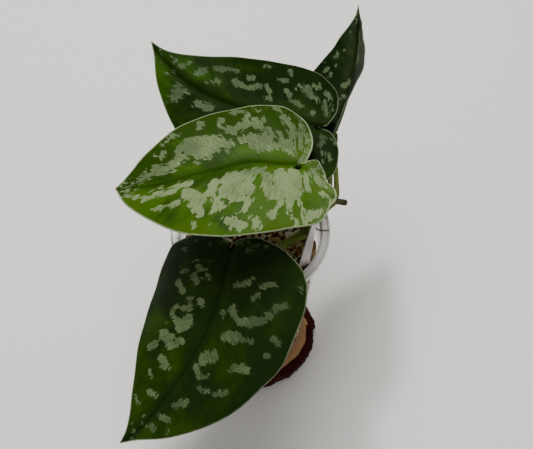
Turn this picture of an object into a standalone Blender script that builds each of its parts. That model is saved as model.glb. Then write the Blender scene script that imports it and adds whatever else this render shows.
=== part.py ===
"""Potted scindapsus: four variegated heart-shaped leaves on one creeping vine, in a clear pot of
chunky mix, on a bark-edged wood slice. Metres, +Z up, origin on the pot's axis at the slice's underside.
Run with: blender --background --python part.py"""

import math
import random
from collections import namedtuple

import bmesh
import bpy
import numpy as np
from mathutils import Matrix, Vector

MM = 0.001
GAP = 0.3 * MM
MERGE = 0.000001

# Wood slice
SLICE_HEIGHT = 9 * MM
SLICE_RADIUS = 46.8 * MM
SLICE_CENTRE = Vector((-3, -2, 0)) * MM
BARK_WAVE = 1.3 * MM
BARK_PLATE = 1.6 * MM
SLICE_SIDES = 64

# Clear pot
POT_BOTTOM = SLICE_HEIGHT + GAP
POT_HEIGHT = 125 * MM
POT_TOP = POT_BOTTOM + POT_HEIGHT
POT_BASE_RADIUS = 36 * MM
POT_TOP_RADIUS = 44 * MM
POT_WALL = 1.0 * MM
POT_FLOOR = 1.4 * MM
POT_FOOT = 1.2 * MM
FLANGE_RADIUS = 49 * MM
FLANGE_THICKNESS = 1.0 * MM
FLANGE_LIP = 2.8 * MM
BEAD_HEIGHT = 0.5 * MM
POT_SIDES = 56
DRAIN_RADIUS = 3 * MM
DRAIN_RING = 19 * MM
DRAIN_COUNT = 4

# Potting mix
MIX_BOTTOM = POT_BOTTOM + POT_FOOT + POT_FLOOR + GAP
MIX_TOP = POT_BOTTOM + 106 * MM
CHUNK_COUNT = 58
CHUNK_SPREAD = 36.5 * MM
CHUNK_SMALL = 3.2 * MM
CHUNK_LARGE = 4.9 * MM

# Plant
VINE_RADIUS = 2.5 * MM
PETIOLE_FOOT_RADIUS = 1.75 * MM
PETIOLE_TOP_RADIUS = 1.25 * MM
ROOT_RADIUS = 0.5 * MM
STUB_RADIUS = 1.6 * MM
BLADE_THICKNESS = 0.8 * MM
BLADE_ROWS = 27
BLADE_COLUMNS = 4
MIDRIB_STEPS = 40
WAVE_HEIGHT = 1.3 * MM

# Plant label
LABEL_THICKNESS = 0.8 * MM
LABEL_WIDTH = 8 * MM
LABEL_TIP_WIDTH = 2.4 * MM
LABEL_BURIED = 14 * MM
LABEL_SHOWN = 44 * MM
LABEL_AT_MIX = Vector((33.2, -14.0, 114.8)) * MM
LABEL_LEAN = Vector((0.13, 0.165, 1.0)).normalized()
LABEL_FACE_TURN = math.radians(32)

# A leaf blade: angles in degrees, lengths in millimetres. The blade starts at base and runs along heading.
# rise and curl are each half's slope beside the midrib and how far it bends down to the margin; lobe and
# tip are each half's share of the length behind the stalk and where it starts to narrow into the tip.
Leaf = namedtuple("Leaf", "base heading pitch roll length half_width rise curl droop hook twist lobe tip")

LEAVES = {
    "middle": Leaf(base=(27.5, 2, 199.5), heading=184, pitch=5, roll=3, length=109, half_width=46,
                   rise=(9, 9), curl=(22, 25), droop=(-32, -2), hook=(6, -20), twist=-8,
                   lobe=(0.16, 0.09), tip=(0.86, 0.83)),
    "front": Leaf(base=(-10, -33, 168), heading=253, pitch=-27, roll=20, length=138, half_width=52,
                  rise=(6, -2), curl=(27, 30), droop=(-8, 1), hook=(-18, -29), twist=-11,
                  lobe=(0.06, 0.04), tip=(0.76, 0.80)),
    "rear": Leaf(base=(40, 33.5, 192), heading=170, pitch=-1, roll=-19, length=117, half_width=43,
                 rise=(10, -13), curl=(13, 17), droop=(5, 1), hook=(-24, -24), twist=-12,
                 lobe=(0.12, 0.08), tip=(0.78, 0.76)),
    "top": Leaf(base=(49.5, 46.5, 167), heading=67, pitch=7, roll=-52, length=97, half_width=39,
                rise=(32, 28), curl=(4, 7), droop=(19, 5), hook=(4, 5), twist=-1,
                lobe=(0.14, 0.14), tip=(0.73, 0.74)),
}

# Routes, in millimetres, chosen by hand
VINE_ROUTE = [(30, 3, 92), (33, 4.5, 107), (35.6, 5.8, 120), (37.6, 6.8, 131), (41, 8, 139.2),
              (46.5, 9.8, 143), (50.6, 11.8, 147), (51.5, 12.6, 150)]
STUB_ROUTE = [(50.2, 11.6, 146.4), (53, 11.5, 147.3), (57.5, 11.2, 146.6)]
ROOT_ROUTE = [(40.4, 7.6, 137.4), (39.4, 3.2, 137.2), (39.9, -0.6, 136.7), (42, -2.1, 136.3),
              (45, -2.3, 136.15), (47.9, -1.9, 136.1)]
PETIOLE_ROUTES = {
    "front": [(35.6, 5.8, 120), (29.5, 2, 121.6), (19, -5, 121.8), (8, -13, 128), (0, -21, 142), (-6, -28, 156)],
    "middle": [(44.2, 9, 141.7), (45.5, 4, 149), (44.5, -3.5, 163), (39.5, -10, 179), (33, -6.5, 190.5)],
    "rear": [(48.6, 11, 144.6), (47.9, 15.3, 151), (48.3, 20, 160), (47.6, 25.5, 171), (44.5, 30.5, 181)],
    "top": [(51.4, 12.5, 149), (52.3, 14.6, 152.2), (52.3, 19, 154.2), (52.1, 26, 156.8), (51.6, 34, 160),
            (51.6, 41, 162.6)],
}
# How far under the blade each stalk turns up towards it
PETIOLE_APPROACH = {"front": 6, "middle": 6, "rear": 6, "top": 2.6}


def clear_scene():
    for thing in list(bpy.data.objects):
        bpy.data.objects.remove(thing, do_unlink=True)


def new_collection(name):
    collection = bpy.data.collections.new(name)
    bpy.context.scene.collection.children.link(collection)
    return collection


def finish_material(name, colour, roughness, metallic=0.0, transmission=0.0):
    material = bpy.data.materials.new(name)
    material.use_nodes = True
    shader = material.node_tree.nodes["Principled BSDF"]
    shader.inputs["Base Color"].default_value = (*colour, 1.0)
    shader.inputs["Roughness"].default_value = roughness
    shader.inputs["Metallic"].default_value = metallic
    shader.inputs["Transmission Weight"].default_value = transmission
    material.diffuse_color = (*colour, 1.0)
    return material


def add_object(name, mesh, collection, material=None):
    thing = bpy.data.objects.new(name, mesh)
    collection.objects.link(thing)
    if material:
        mesh.materials.clear()
        mesh.materials.append(material)
    return thing


def hide_cutter(thing):
    thing.hide_render = True
    thing.display_type = "WIRE"


def cut(thing, cutter):
    modifier = thing.modifiers.new("cut_" + cutter.name, "BOOLEAN")
    modifier.operation = "DIFFERENCE"
    modifier.solver = "EXACT"
    modifier.object = cutter


def evaluated_mesh(thing):
    bpy.context.view_layer.update()
    graph = bpy.context.evaluated_depsgraph_get()
    mesh = bpy.data.meshes.new_from_object(thing.evaluated_get(graph))
    weld = bmesh.new()
    weld.from_mesh(mesh)
    bmesh.ops.remove_doubles(weld, verts=weld.verts, dist=MERGE)
    weld.to_mesh(mesh)
    weld.free()
    return mesh


def bake(thing):
    """Applies what an object's modifiers make, so that other objects can be cut by it."""
    mesh = evaluated_mesh(thing)
    thing.modifiers.clear()
    thing.data = mesh


def shade_round(mesh, sharp_degrees=35):
    mesh.shade_smooth()
    mesh.set_sharp_from_angle(angle=math.radians(sharp_degrees))


def smooth_route(points, per_span):
    """Points along one smooth curve through the given ones, by Catmull-Rom spans."""
    points = np.asarray(points, float)
    ends = np.vstack([2 * points[0] - points[1], points, 2 * points[-1] - points[-2]])
    route = []
    for i in range(len(points) - 1):
        a, b, c, d = ends[i:i + 4]
        for t in np.arange(per_span) / per_span:
            route.append(0.5 * (2 * b + (c - a) * t + (2 * a - 5 * b + 4 * c - d) * t ** 2
                                + (3 * b - a - 3 * c + d) * t ** 3))
    route.append(points[-1])
    return np.array(route)


def tube(name, route, radius, collection, end_radius=None, per_span=3, grow=0.0):
    """A closed tube of even or tapering radius along a smooth route given in millimetres."""
    points = smooth_route(route, per_span) * MM
    curve = bpy.data.curves.new(name, "CURVE")
    curve.dimensions = "3D"
    curve.bevel_depth = 1.0
    curve.bevel_resolution = 2
    curve.use_fill_caps = True
    spline = curve.splines.new("POLY")
    spline.points.add(len(points) - 1)
    end_radius = radius if end_radius is None else end_radius
    for i, place in enumerate(points):
        share = i / (len(points) - 1)
        spline.points[i].co = (*place, 1.0)
        spline.points[i].radius = radius + (end_radius - radius) * share + grow
    guide = bpy.data.objects.new(name + "_curve", curve)
    collection.objects.link(guide)
    mesh = evaluated_mesh(guide)
    bpy.data.objects.remove(guide)
    shade_round(mesh, 50)
    return add_object(name, mesh, collection)


def turned(name, profile, sides, collection, material=None):
    """A turned body from (radius, height) points that start and end on the axis."""
    mesh = bpy.data.meshes.new(name)
    corners = [(radius, 0, height) for radius, height in profile]
    edges = [(i, i + 1) for i in range(len(corners) - 1)]
    mesh.from_pydata(corners, edges, [])
    thing = add_object(name, mesh, collection, material)
    screw = thing.modifiers.new("turn", "SCREW")
    screw.axis = "Z"
    screw.steps = sides
    screw.render_steps = sides
    screw.use_merge_vertices = True
    screw.merge_threshold = MERGE
    screw.use_normal_calculate = False
    return thing


# Wood slice

def bark_radius(angle):
    """The slice's outline: a slightly uneven round with one bark plate standing out to the right."""
    waves = 0.9 * math.sin(2 * angle + 2.9) - 0.3 * math.sin(angle) + 0.3 * math.sin(5 * angle + 3.6)
    ridges = 0.22 * math.sin(13 * angle) + 0.16 * math.sin(21 * angle + 2.0)
    plate = BARK_PLATE * math.exp(-(math.degrees(angle) / 9) ** 4)
    return SLICE_RADIUS + BARK_WAVE * (waves + ridges) + plate


def wood_slice(collection):
    disc = bmesh.new()
    bmesh.ops.create_cone(disc, cap_ends=True, segments=SLICE_SIDES, radius1=1.0, radius2=1.0,
                          depth=SLICE_HEIGHT, matrix=Matrix.Translation((0, 0, SLICE_HEIGHT / 2)))
    wall = [edge for edge in disc.edges if abs(edge.verts[0].co.z - edge.verts[1].co.z) > SLICE_HEIGHT / 2]
    bmesh.ops.subdivide_edges(disc, edges=wall, cuts=3, use_grid_fill=False)
    for corner in disc.verts:
        angle = math.atan2(corner.co.y, corner.co.x)
        level = corner.co.z / SLICE_HEIGHT
        bulge = 0.6 * MM * math.sin(math.pi * level) * (1 + math.sin(17 * angle + 5 * level))
        radius = bark_radius(angle) - 0.8 * MM + bulge
        corner.co.x = SLICE_CENTRE.x + radius * math.cos(angle)
        corner.co.y = SLICE_CENTRE.y + radius * math.sin(angle)
    mesh = bpy.data.meshes.new("wood_slice")
    disc.to_mesh(mesh)
    disc.free()
    shade_round(mesh, 60)
    add_object("wood_slice", mesh, collection, finish_material("bark_and_wood", (0.10, 0.055, 0.03), 0.8))


# Clear pot

def outer_wall(height):
    """The wall's outer radius at a height above the floor that the object stands on."""
    share = (height - POT_BOTTOM) / POT_HEIGHT
    return POT_BASE_RADIUS + (POT_TOP_RADIUS - POT_BASE_RADIUS) * share


def pot(collection, cutters):
    floor_top = POT_BOTTOM + POT_FOOT + POT_FLOOR
    under_flange = POT_TOP - FLANGE_THICKNESS
    foot_width = 2.5 * MM
    corner = 1.5 * MM
    inside = [
        (0, floor_top),
        (outer_wall(floor_top) - POT_WALL - corner, floor_top),
        (outer_wall(floor_top + corner) - POT_WALL, floor_top + corner),
        (POT_TOP_RADIUS - POT_WALL - 0.3 * MM, POT_TOP - 0.6 * MM),
        (POT_TOP_RADIUS - POT_WALL + 0.3 * MM, POT_TOP),
    ]
    rim = [
        (FLANGE_RADIUS - 2.0 * MM, POT_TOP),
        (FLANGE_RADIUS - 1.5 * MM, POT_TOP + BEAD_HEIGHT),
        (FLANGE_RADIUS - 0.6 * MM, POT_TOP + BEAD_HEIGHT),
        (FLANGE_RADIUS, POT_TOP - 0.2 * MM),
        (FLANGE_RADIUS, POT_TOP - FLANGE_LIP),
        (FLANGE_RADIUS - 0.9 * MM, POT_TOP - FLANGE_LIP),
        (FLANGE_RADIUS - 1.0 * MM, under_flange),
    ]
    outside = [
        (outer_wall(under_flange), under_flange),
        (outer_wall(POT_BOTTOM + corner), POT_BOTTOM + corner),
        (POT_BASE_RADIUS - 0.8 * MM, POT_BOTTOM),
        (POT_BASE_RADIUS - foot_width, POT_BOTTOM),
        (POT_BASE_RADIUS - foot_width - 0.6 * MM, POT_BOTTOM + POT_FOOT),
        (0, POT_BOTTOM + POT_FOOT),
    ]
    clear = finish_material("clear_plastic", (0.86, 0.85, 0.82), 0.25, transmission=0.6)
    thing = turned("pot", inside + rim + outside, POT_SIDES, collection, clear)
    for i in range(DRAIN_COUNT):
        angle = math.tau * i / DRAIN_COUNT + 0.4
        place = (DRAIN_RING * math.cos(angle), DRAIN_RING * math.sin(angle), floor_top)
        drill = bmesh.new()
        bmesh.ops.create_cone(drill, cap_ends=True, segments=12, radius1=DRAIN_RADIUS, radius2=DRAIN_RADIUS,
                              depth=4 * POT_FLOOR, matrix=Matrix.Translation(place))
        mesh = bpy.data.meshes.new("drain_drill")
        drill.to_mesh(mesh)
        drill.free()
        cutter = add_object("drain_drill_%d" % i, mesh, cutters)
        hide_cutter(cutter)
        cut(thing, cutter)


# Potting mix

def chunk(name, place, size, draw, collection):
    """A rough flake of bark or pumice: an icosahedron pulled about by a seeded draw."""
    rock = bmesh.new()
    bmesh.ops.create_icosphere(rock, subdivisions=1, radius=size)
    turn = Matrix.Rotation(draw.uniform(0, math.tau), 3, "Z") @ Matrix.Rotation(draw.uniform(-0.5, 0.5), 3, "X")
    stretch = Vector((draw.uniform(0.8, 1.25), draw.uniform(0.6, 1.0), draw.uniform(0.45, 0.75)))
    for corner in rock.verts:
        rough = corner.co * draw.uniform(0.85, 1.1)
        corner.co = place + turn @ Vector(a * b for a, b in zip(rough, stretch))
    mesh = bpy.data.meshes.new(name)
    rock.to_mesh(mesh)
    rock.free()
    return add_object(name, mesh, collection)


def potting_mix(collection, cutters, holes):
    """The filling, with chunks rooted in its top, and plain holes where stem and label stand in it."""
    def inner(height):
        return outer_wall(height) - POT_WALL - 2 * GAP

    corner = 2.4 * MM
    profile = [
        (0, MIX_TOP),
        (inner(MIX_TOP), MIX_TOP),
        (inner(MIX_BOTTOM + corner), MIX_BOTTOM + corner),
        (inner(MIX_BOTTOM) - corner, MIX_BOTTOM),
        (0, MIX_BOTTOM),
    ]
    mix = turned("potting_mix", profile, 40, collection, finish_material("bark_mix", (0.13, 0.075, 0.045), 0.95))
    chunks = new_collection("chunks")
    draw = random.Random(7)
    golden = math.pi * (3 - math.sqrt(5))
    for i in range(CHUNK_COUNT):
        reach = CHUNK_SPREAD * math.sqrt((i + 0.5) / CHUNK_COUNT)
        size = draw.uniform(CHUNK_SMALL, CHUNK_LARGE)
        place = Vector((reach * math.cos(i * golden), reach * math.sin(i * golden), MIX_TOP - 0.35 * MM))
        chunk("chunk_%02d" % i, place, size, draw, chunks)
    join = mix.modifiers.new("chunks", "BOOLEAN")
    join.operation = "UNION"
    join.solver = "EXACT"
    join.operand_type = "COLLECTION"
    join.collection = chunks
    bake(mix)
    for flake in list(chunks.objects):
        bpy.data.objects.remove(flake, do_unlink=True)
    bpy.data.collections.remove(chunks)
    for hole in holes:
        hide_cutter(hole)
        cut(mix, hole)
    bake(mix)


# Leaves

def half_outline(lobe, tip):
    """One half of the blade as (share of length, share of half width), from the stalk to the tip."""
    narrow = tip - 0.77
    return [(0, 0), (-0.6 * lobe, 0.07), (-lobe, 0.34), (0.05 - 1.25 * lobe, 0.70), (0.10 - 0.3 * lobe, 0.97),
            (0.30 + 0.3 * narrow, 0.985), (0.55 + 0.6 * narrow, 0.76 + 0.5 * narrow), (tip, 0.38),
            (0.6 * tip + 0.445, 0.11), (1, 0)]


def turned_axes(heading, pitch, roll):
    heading, pitch, roll = (math.radians(angle) for angle in (heading, pitch, roll))
    ahead = np.array([math.cos(pitch) * math.cos(heading), math.cos(pitch) * math.sin(heading), math.sin(pitch)])
    left = np.array([-math.sin(heading), math.cos(heading), 0.0])
    up = np.cross(ahead, left)
    return np.array([ahead, left * math.cos(roll) + up * math.sin(roll), up * math.cos(roll) - left * math.sin(roll)])


def midrib(leaf, x):
    """Places and (along, left, up) axes on the midrib at distances x, in the leaf's own frame."""
    share = np.linspace(0, 1, MIDRIB_STEPS + 1)
    dip = np.radians(leaf.droop[0] * share + leaf.droop[1] * share ** 2)
    swing = np.radians(leaf.hook[0] * share + leaf.hook[1] * share ** 2)
    along = np.stack([np.cos(dip) * np.cos(swing), np.sin(swing), np.sin(dip) * np.cos(swing)], 1)
    step = leaf.length / MIDRIB_STEPS
    spine = np.vstack([np.zeros(3), np.cumsum((along[1:] + along[:-1]) / 2, 0) * step])
    at = np.clip(np.asarray(x) / leaf.length, 0, 1)
    tangent = np.stack([np.interp(at, share, along[:, i]) for i in range(3)], 1)
    tangent /= np.linalg.norm(tangent, axis=1)[:, None]
    place = np.stack([np.interp(at, share, spine[:, i]) for i in range(3)], 1)
    place += tangent * np.minimum(x, 0)[:, None]
    turn = np.interp(at, share, swing)
    left = np.stack([-np.sin(turn), np.cos(turn), np.zeros(len(at))], 1)
    left -= (left * tangent).sum(1)[:, None] * tangent
    left /= np.linalg.norm(left, axis=1)[:, None]
    up = np.cross(tangent, left)
    roll = np.radians(leaf.twist * at)[:, None]
    return place, tangent, left * np.cos(roll) + up * np.sin(roll), up * np.cos(roll) - left * np.sin(roll)


def blade_points(leaf, side, p, q):
    """Points of one half of the blade: p runs along the margin from the stalk to the tip and q from the
    midrib to the margin. Side is +1 for the left half and -1 for the right."""
    index = 0 if side > 0 else 1
    knots = smooth_route(half_outline(leaf.lobe[index], leaf.tip[index]), 12)
    steps = np.linspace(0, 1, len(knots))
    margin = np.stack([np.interp(p, steps, knots[:, 0]) * leaf.length,
                       np.maximum(np.interp(p, steps, knots[:, 1]), 0) * leaf.half_width], 1)
    root = leaf.length * np.clip((p - 0.45) / 0.55, 0, 1) ** 1.2
    x = root + (margin[:, 0] - root) * q
    y = margin[:, 1] * q
    place, _, left, up = midrib(leaf, x)
    rise = math.radians(leaf.rise[index])
    bend = math.radians(leaf.curl[index]) / leaf.half_width
    across = (math.sin(rise) - np.sin(rise - bend * y)) / bend
    lift = (np.cos(rise - bend * y) - math.cos(rise)) / bend
    wave = np.sin(math.tau * 3.5 * p + 1.7 * side) * np.sin(math.pi * p) * q ** 2
    lift = lift + WAVE_HEIGHT / MM * wave
    local = place + side * left * across[:, None] + up * lift[:, None]
    return (np.array(leaf.base) + local @ turned_axes(leaf.heading, leaf.pitch, leaf.roll)) * MM


def blade(name, leaf, collection, thickness, material=None):
    """The blade as one open sheet of triangles, thickened alike on both faces."""
    sheet = bmesh.new()
    p, q = np.meshgrid(np.linspace(0, 1, BLADE_ROWS + 1), np.linspace(0, 1, BLADE_COLUMNS + 1), indexing="ij")
    for side in (1, -1):
        points = blade_points(leaf, side, p.ravel(), q.ravel())
        corners = [sheet.verts.new(point) for point in points]
        width = BLADE_COLUMNS + 1
        for i in range(BLADE_ROWS):
            for j in range(BLADE_COLUMNS):
                a, b = corners[i * width + j], corners[i * width + j + 1]
                c, d = corners[(i + 1) * width + j + 1], corners[(i + 1) * width + j]
                for face in ((a, b, c), (a, c, d)):
                    sheet.faces.new(face if side < 0 else face[::-1])
    bmesh.ops.remove_doubles(sheet, verts=sheet.verts, dist=0.01 * MM)
    mesh = bpy.data.meshes.new(name)
    sheet.to_mesh(mesh)
    sheet.free()
    thing = add_object(name, mesh, collection, material)
    thicken = thing.modifiers.new("thickness", "SOLIDIFY")
    thicken.thickness = thickness
    thicken.offset = 0
    bake(thing)
    thing.data.shade_smooth()
    thing.data.set_sharp_from_angle(angle=math.radians(50))
    return thing


def leaf_with_petiole(key, leaf, collection, cutters, vine_cutter, leaf_finish, stalk_finish):
    """The blade, and its stalk cut to sit against both the vine and the blade's underside."""
    blade("leaf_" + key, leaf, collection, BLADE_THICKNESS, leaf_finish)
    blade_cutter = blade("blade_seat_" + key, leaf, cutters, BLADE_THICKNESS + 2 * GAP)
    hide_cutter(blade_cutter)
    place, _, _, up = midrib(leaf, np.array([2.0]))
    axes = turned_axes(leaf.heading, leaf.pitch, leaf.roll)
    seat = np.array(leaf.base) + place[0] @ axes
    under = up[0] @ axes
    turn = tuple(seat - PETIOLE_APPROACH[key] * under)
    route = PETIOLE_ROUTES[key] + [turn, tuple(seat - 0.1 * under)]
    stalk = tube("petiole_" + key, route, PETIOLE_FOOT_RADIUS, collection, PETIOLE_TOP_RADIUS)
    stalk.data.materials.append(stalk_finish)
    cut(stalk, vine_cutter)
    cut(stalk, blade_cutter)
    bake(stalk)


# Vine

def vine(collection, material):
    """The creeping stem with its aerial root and a root stub, all grown as one body."""
    stem = tube("vine_stem", VINE_ROUTE, VINE_RADIUS, collection, 0.9 * VINE_RADIUS)
    stem.data.materials.append(material)
    shoots = new_collection("shoots")
    tube("aerial_root", ROOT_ROUTE, ROOT_RADIUS, shoots, 0.8 * ROOT_RADIUS)
    tube("root_stub", STUB_ROUTE, STUB_RADIUS, shoots, 0.8 * STUB_RADIUS)
    join = stem.modifiers.new("shoots", "BOOLEAN")
    join.operation = "UNION"
    join.solver = "EXACT"
    join.operand_type = "COLLECTION"
    join.collection = shoots
    bake(stem)
    for shoot in list(shoots.objects):
        bpy.data.objects.remove(shoot, do_unlink=True)
    bpy.data.collections.remove(shoots)


# Plant label

def label(name, collection, grow=0.0):
    """A tapering strip, standing in the mix with its wide end down and its narrow end under a leaf."""
    half = LABEL_WIDTH / 2 + grow
    tip = LABEL_TIP_WIDTH / 2 + grow
    outline = [(-half, -LABEL_BURIED - grow), (half, -LABEL_BURIED - grow), (half, 0),
               (0.84 * half, 0.35 * LABEL_SHOWN), (tip, LABEL_SHOWN - tip), (0.5 * tip, LABEL_SHOWN),
               (-0.5 * tip, LABEL_SHOWN), (-tip, LABEL_SHOWN - tip), (-0.84 * half, 0.35 * LABEL_SHOWN),
               (-half, 0)]
    curve = bpy.data.curves.new(name, "CURVE")
    curve.dimensions = "2D"
    curve.fill_mode = "BOTH"
    curve.extrude = LABEL_THICKNESS / 2 + grow
    spline = curve.splines.new("POLY")
    spline.points.add(len(outline) - 1)
    for point, (x, y) in zip(spline.points, outline):
        point.co = (x, y, 0, 1)
    spline.use_cyclic_u = True
    guide = bpy.data.objects.new(name + "_curve", curve)
    collection.objects.link(guide)
    across = Vector((math.cos(LABEL_FACE_TURN), math.sin(LABEL_FACE_TURN), 0))
    across = (across - across.dot(LABEL_LEAN) * LABEL_LEAN).normalized()
    facing = across.cross(LABEL_LEAN)
    mesh = evaluated_mesh(guide)
    bpy.data.objects.remove(guide)
    thing = add_object(name, mesh, collection)
    turn = Matrix((across, LABEL_LEAN, facing)).transposed().to_4x4()
    thing.matrix_world = Matrix.Translation(LABEL_AT_MIX) @ turn
    return thing


def main():
    clear_scene()
    plant = new_collection("potted_scindapsus")
    cutters = new_collection("cutters")
    leaf_finish = finish_material("leaf", (0.05, 0.11, 0.02), 0.42)
    stalk_finish = finish_material("stalk", (0.07, 0.12, 0.02), 0.5)
    wood_slice(plant)
    pot(plant, cutters)
    vine(plant, stalk_finish)
    vine_cutter = tube("vine_seat", VINE_ROUTE, VINE_RADIUS, cutters, 0.9 * VINE_RADIUS, grow=GAP)
    hide_cutter(vine_cutter)
    for key, leaf in LEAVES.items():
        leaf_with_petiole(key, leaf, plant, cutters, vine_cutter, leaf_finish, stalk_finish)
    tag = label("plant_label", plant)
    tag.data.materials.append(finish_material("label_plastic", (0.72, 0.66, 0.66), 0.45))
    potting_mix(plant, cutters, [vine_cutter, label("label_slot", cutters, grow=GAP)])


main()
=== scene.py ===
"""The looks of the potted scindapsus: silver-splashed leaves, stalks, vine, clear pot, chunky mix, label and
bark-edged slice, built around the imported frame. Lengths are in millimetres until a mesh is made."""

import math
import random
from collections import namedtuple

import bmesh
import bpy
import numpy as np
from mathutils import Matrix, Vector, noise


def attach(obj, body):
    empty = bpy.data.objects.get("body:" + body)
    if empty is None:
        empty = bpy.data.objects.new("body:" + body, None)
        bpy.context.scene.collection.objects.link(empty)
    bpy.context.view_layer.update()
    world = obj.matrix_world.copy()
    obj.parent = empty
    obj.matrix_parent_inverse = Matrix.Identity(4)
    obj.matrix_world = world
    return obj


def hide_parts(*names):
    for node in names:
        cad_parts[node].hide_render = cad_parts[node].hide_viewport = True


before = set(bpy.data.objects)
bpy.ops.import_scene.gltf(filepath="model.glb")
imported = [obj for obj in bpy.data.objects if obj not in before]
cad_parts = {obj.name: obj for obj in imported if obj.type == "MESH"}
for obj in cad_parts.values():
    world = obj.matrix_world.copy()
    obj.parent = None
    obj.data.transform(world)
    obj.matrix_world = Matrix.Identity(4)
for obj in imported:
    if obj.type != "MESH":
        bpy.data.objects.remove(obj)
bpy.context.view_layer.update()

MM = 0.001
BODY = "root"

# Wood slice
SLICE_HEIGHT = 9
SLICE_RADIUS = 46.8
SLICE_CENTRE = (-3, -2)
BARK_WAVE = 1.3
BARK_PLATE = 1.6
BARK_DEPTH = 5.0
SLICE_SIDES = 288
FACE_RINGS = 26
BARK_RINGS = 12
BARK_SET_BACK = 0.9
CRACK_DEPTH = 0.9
# Drying cracks in the slice's face: angle, half width in radians, and the radius where each starts
CRACKS = [(0.9, 0.030, 30), (2.35, 0.024, 22), (3.9, 0.034, 34), (5.2, 0.020, 18)]

# Clear pot
GAP = 0.3
POT_BOTTOM = SLICE_HEIGHT + GAP
POT_HEIGHT = 125
POT_TOP = POT_BOTTOM + POT_HEIGHT
POT_BASE_RADIUS = 36
POT_TOP_RADIUS = 44
POT_WALL = 1.0
POT_FLOOR = 1.4
POT_FOOT = 1.2
FLANGE_RADIUS = 49
FLANGE_THICKNESS = 1.0
FLANGE_LIP = 2.8
BEAD_HEIGHT = 0.5
POT_SIDES = 144
DRAIN_RADIUS = 3
DRAIN_RING = 19
DRAIN_COUNT = 4

# Potting mix
MIX_BOTTOM = POT_BOTTOM + POT_FOOT + POT_FLOOR + GAP
MIX_TOP = POT_BOTTOM + 106
CORE_RINGS = 44
CORE_SIDES = 120
CORE_INSET = 2.4
CORE_TONE = 0.05
BED_CHUNKS = 230
BED_SIZES = (1.8, 4.0)
CRUMBS = 420
CRUMB_SIZES = (0.6, 1.4)
WALL_ROW_STEP = 5.2
WALL_CHUNK_STEP = 6.2
WALL_SIZES = (2.6, 5.2)
LARGE_CHUNK = 2.4
TOP_TONE_FROM = 0.28
WALL_TONE_TO = 0.62
# The label's stretch inside the mix, which chunks keep off
LABEL_ROUTE = [(33.2, -14, 106), (34.5, -12.5, 130)]

# Plant
VINE_RADIUS = 2.5
PETIOLE_FOOT_RADIUS = 1.75
PETIOLE_TOP_RADIUS = 1.25
ROOT_RADIUS = 0.5
STUB_RADIUS = 1.6
MIDRIB_STEPS = 40
WAVE_HEIGHT = 1.3
LEAF_ROWS = 180
LEAF_COLUMNS = 44
FAN_END = 0.45
MARGIN_WAVES = 3.5
RIPPLE_HEIGHT = 0.30
RIPPLES = 11
VEINS = 24
QUILT_HEIGHT = 0.09
CHANNEL_DEPTH = 1.2
CHANNEL_WIDTH = 4.2
PIT_RADIUS = 1.7
EDGE_THICKNESS = 0.30
BLADE_THICKNESS = 0.60
CREASE_DEPTH = 0.07
RIB_HEIGHT = 1.1
VEIN_HEIGHT = 0.16

# Light and camera, in metres, watts and degrees. A light: its place, size, power and colour.
LIGHT_TARGET = (0, 0, 0.12)
LIGHTS = {
    "key_light": ((-0.16, 0.62, 1.36), 0.15, 9.0, (1.0, 0.985, 0.96)),
    "soft_light": ((-0.08, 0.30, 1.50), 0.80, 15.0, (1.0, 0.985, 0.96)),
    "fill_light": ((-0.7, -1.2, 1.3), 1.8, 4.0, (1.0, 0.99, 0.97)),
}
SKY_COLOUR = (1.0, 0.99, 0.97, 1.0)
SKY_STRENGTH = 0.30
FLOOR_SIZE = 6.0
CAMERA_PLACE = (0.00992, -0.3135, 0.6315)
CAMERA_TILT = 32.5
CAMERA_LENS = 64.84
CAMERA_SENSOR = 36.0

# A leaf blade: angles in degrees. The blade starts at base and runs along heading. rise and curl are each
# half's slope beside the midrib and how far it bends down to the margin; lobe and tip are each half's share
# of the length behind the stalk and where it starts to narrow into the tip. Left half first.
Leaf = namedtuple("Leaf", "base heading pitch roll length half_width rise curl droop hook twist lobe tip")

LEAVES = {
    "middle": Leaf(base=(27.5, 2, 199.5), heading=184, pitch=5, roll=3, length=109, half_width=46,
                   rise=(9, 9), curl=(22, 25), droop=(-32, -2), hook=(6, -20), twist=-8,
                   lobe=(0.16, 0.09), tip=(0.86, 0.83)),
    "front": Leaf(base=(-10, -33, 168), heading=253, pitch=-27, roll=20, length=138, half_width=52,
                  rise=(6, -2), curl=(27, 30), droop=(-8, 1), hook=(-18, -29), twist=-11,
                  lobe=(0.06, 0.04), tip=(0.76, 0.80)),
    "rear": Leaf(base=(40, 33.5, 192), heading=170, pitch=-1, roll=-19, length=117, half_width=43,
                 rise=(10, -13), curl=(13, 17), droop=(5, 1), hook=(-24, -24), twist=-12,
                 lobe=(0.12, 0.08), tip=(0.78, 0.76)),
    "top": Leaf(base=(49.5, 46.5, 167), heading=67, pitch=7, roll=-52, length=97, half_width=39,
                rise=(32, 28), curl=(4, 7), droop=(19, 5), hook=(4, 5), twist=-1,
                lobe=(0.14, 0.14), tip=(0.73, 0.74)),
}

# What each blade looks like. shade, middle and glow are its greens from dark to light, and shift is how they
# change towards the tip and the left margin. ragged is how uneven a splash's edge is, in millimetres, by
# strands along the veins, by blocks of cells and by grain, grow is how far all splashes grow, and fleck counts
# loose flecks. bow has the midrib's bends to the left: how far, at which share of the length, over what share.
# dents has the margin's: which half, at which share along it, over what share, how far out. pit is the funnel
# at the stalk: along, to the left, and how deep. trim is how wide and how pale the margin's own line is. zone
# is how far the silver lightens towards the left margin, and curl how plain the pale lines along a lobe's
# margin are. flap lifts one half near the stalk: which half, along, to the left, its reach and its height.
Look = namedtuple("Look", "slot shade middle glow shift silver_low silver_high ragged seed gloss grow fleck "
                          "bow dents pit trim zone curl flap",
                  defaults=(0.1, 60, (), (), (0.5, 0.0, 0.4), (0.5, 0.55), 0.0, 0.0, None))

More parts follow.
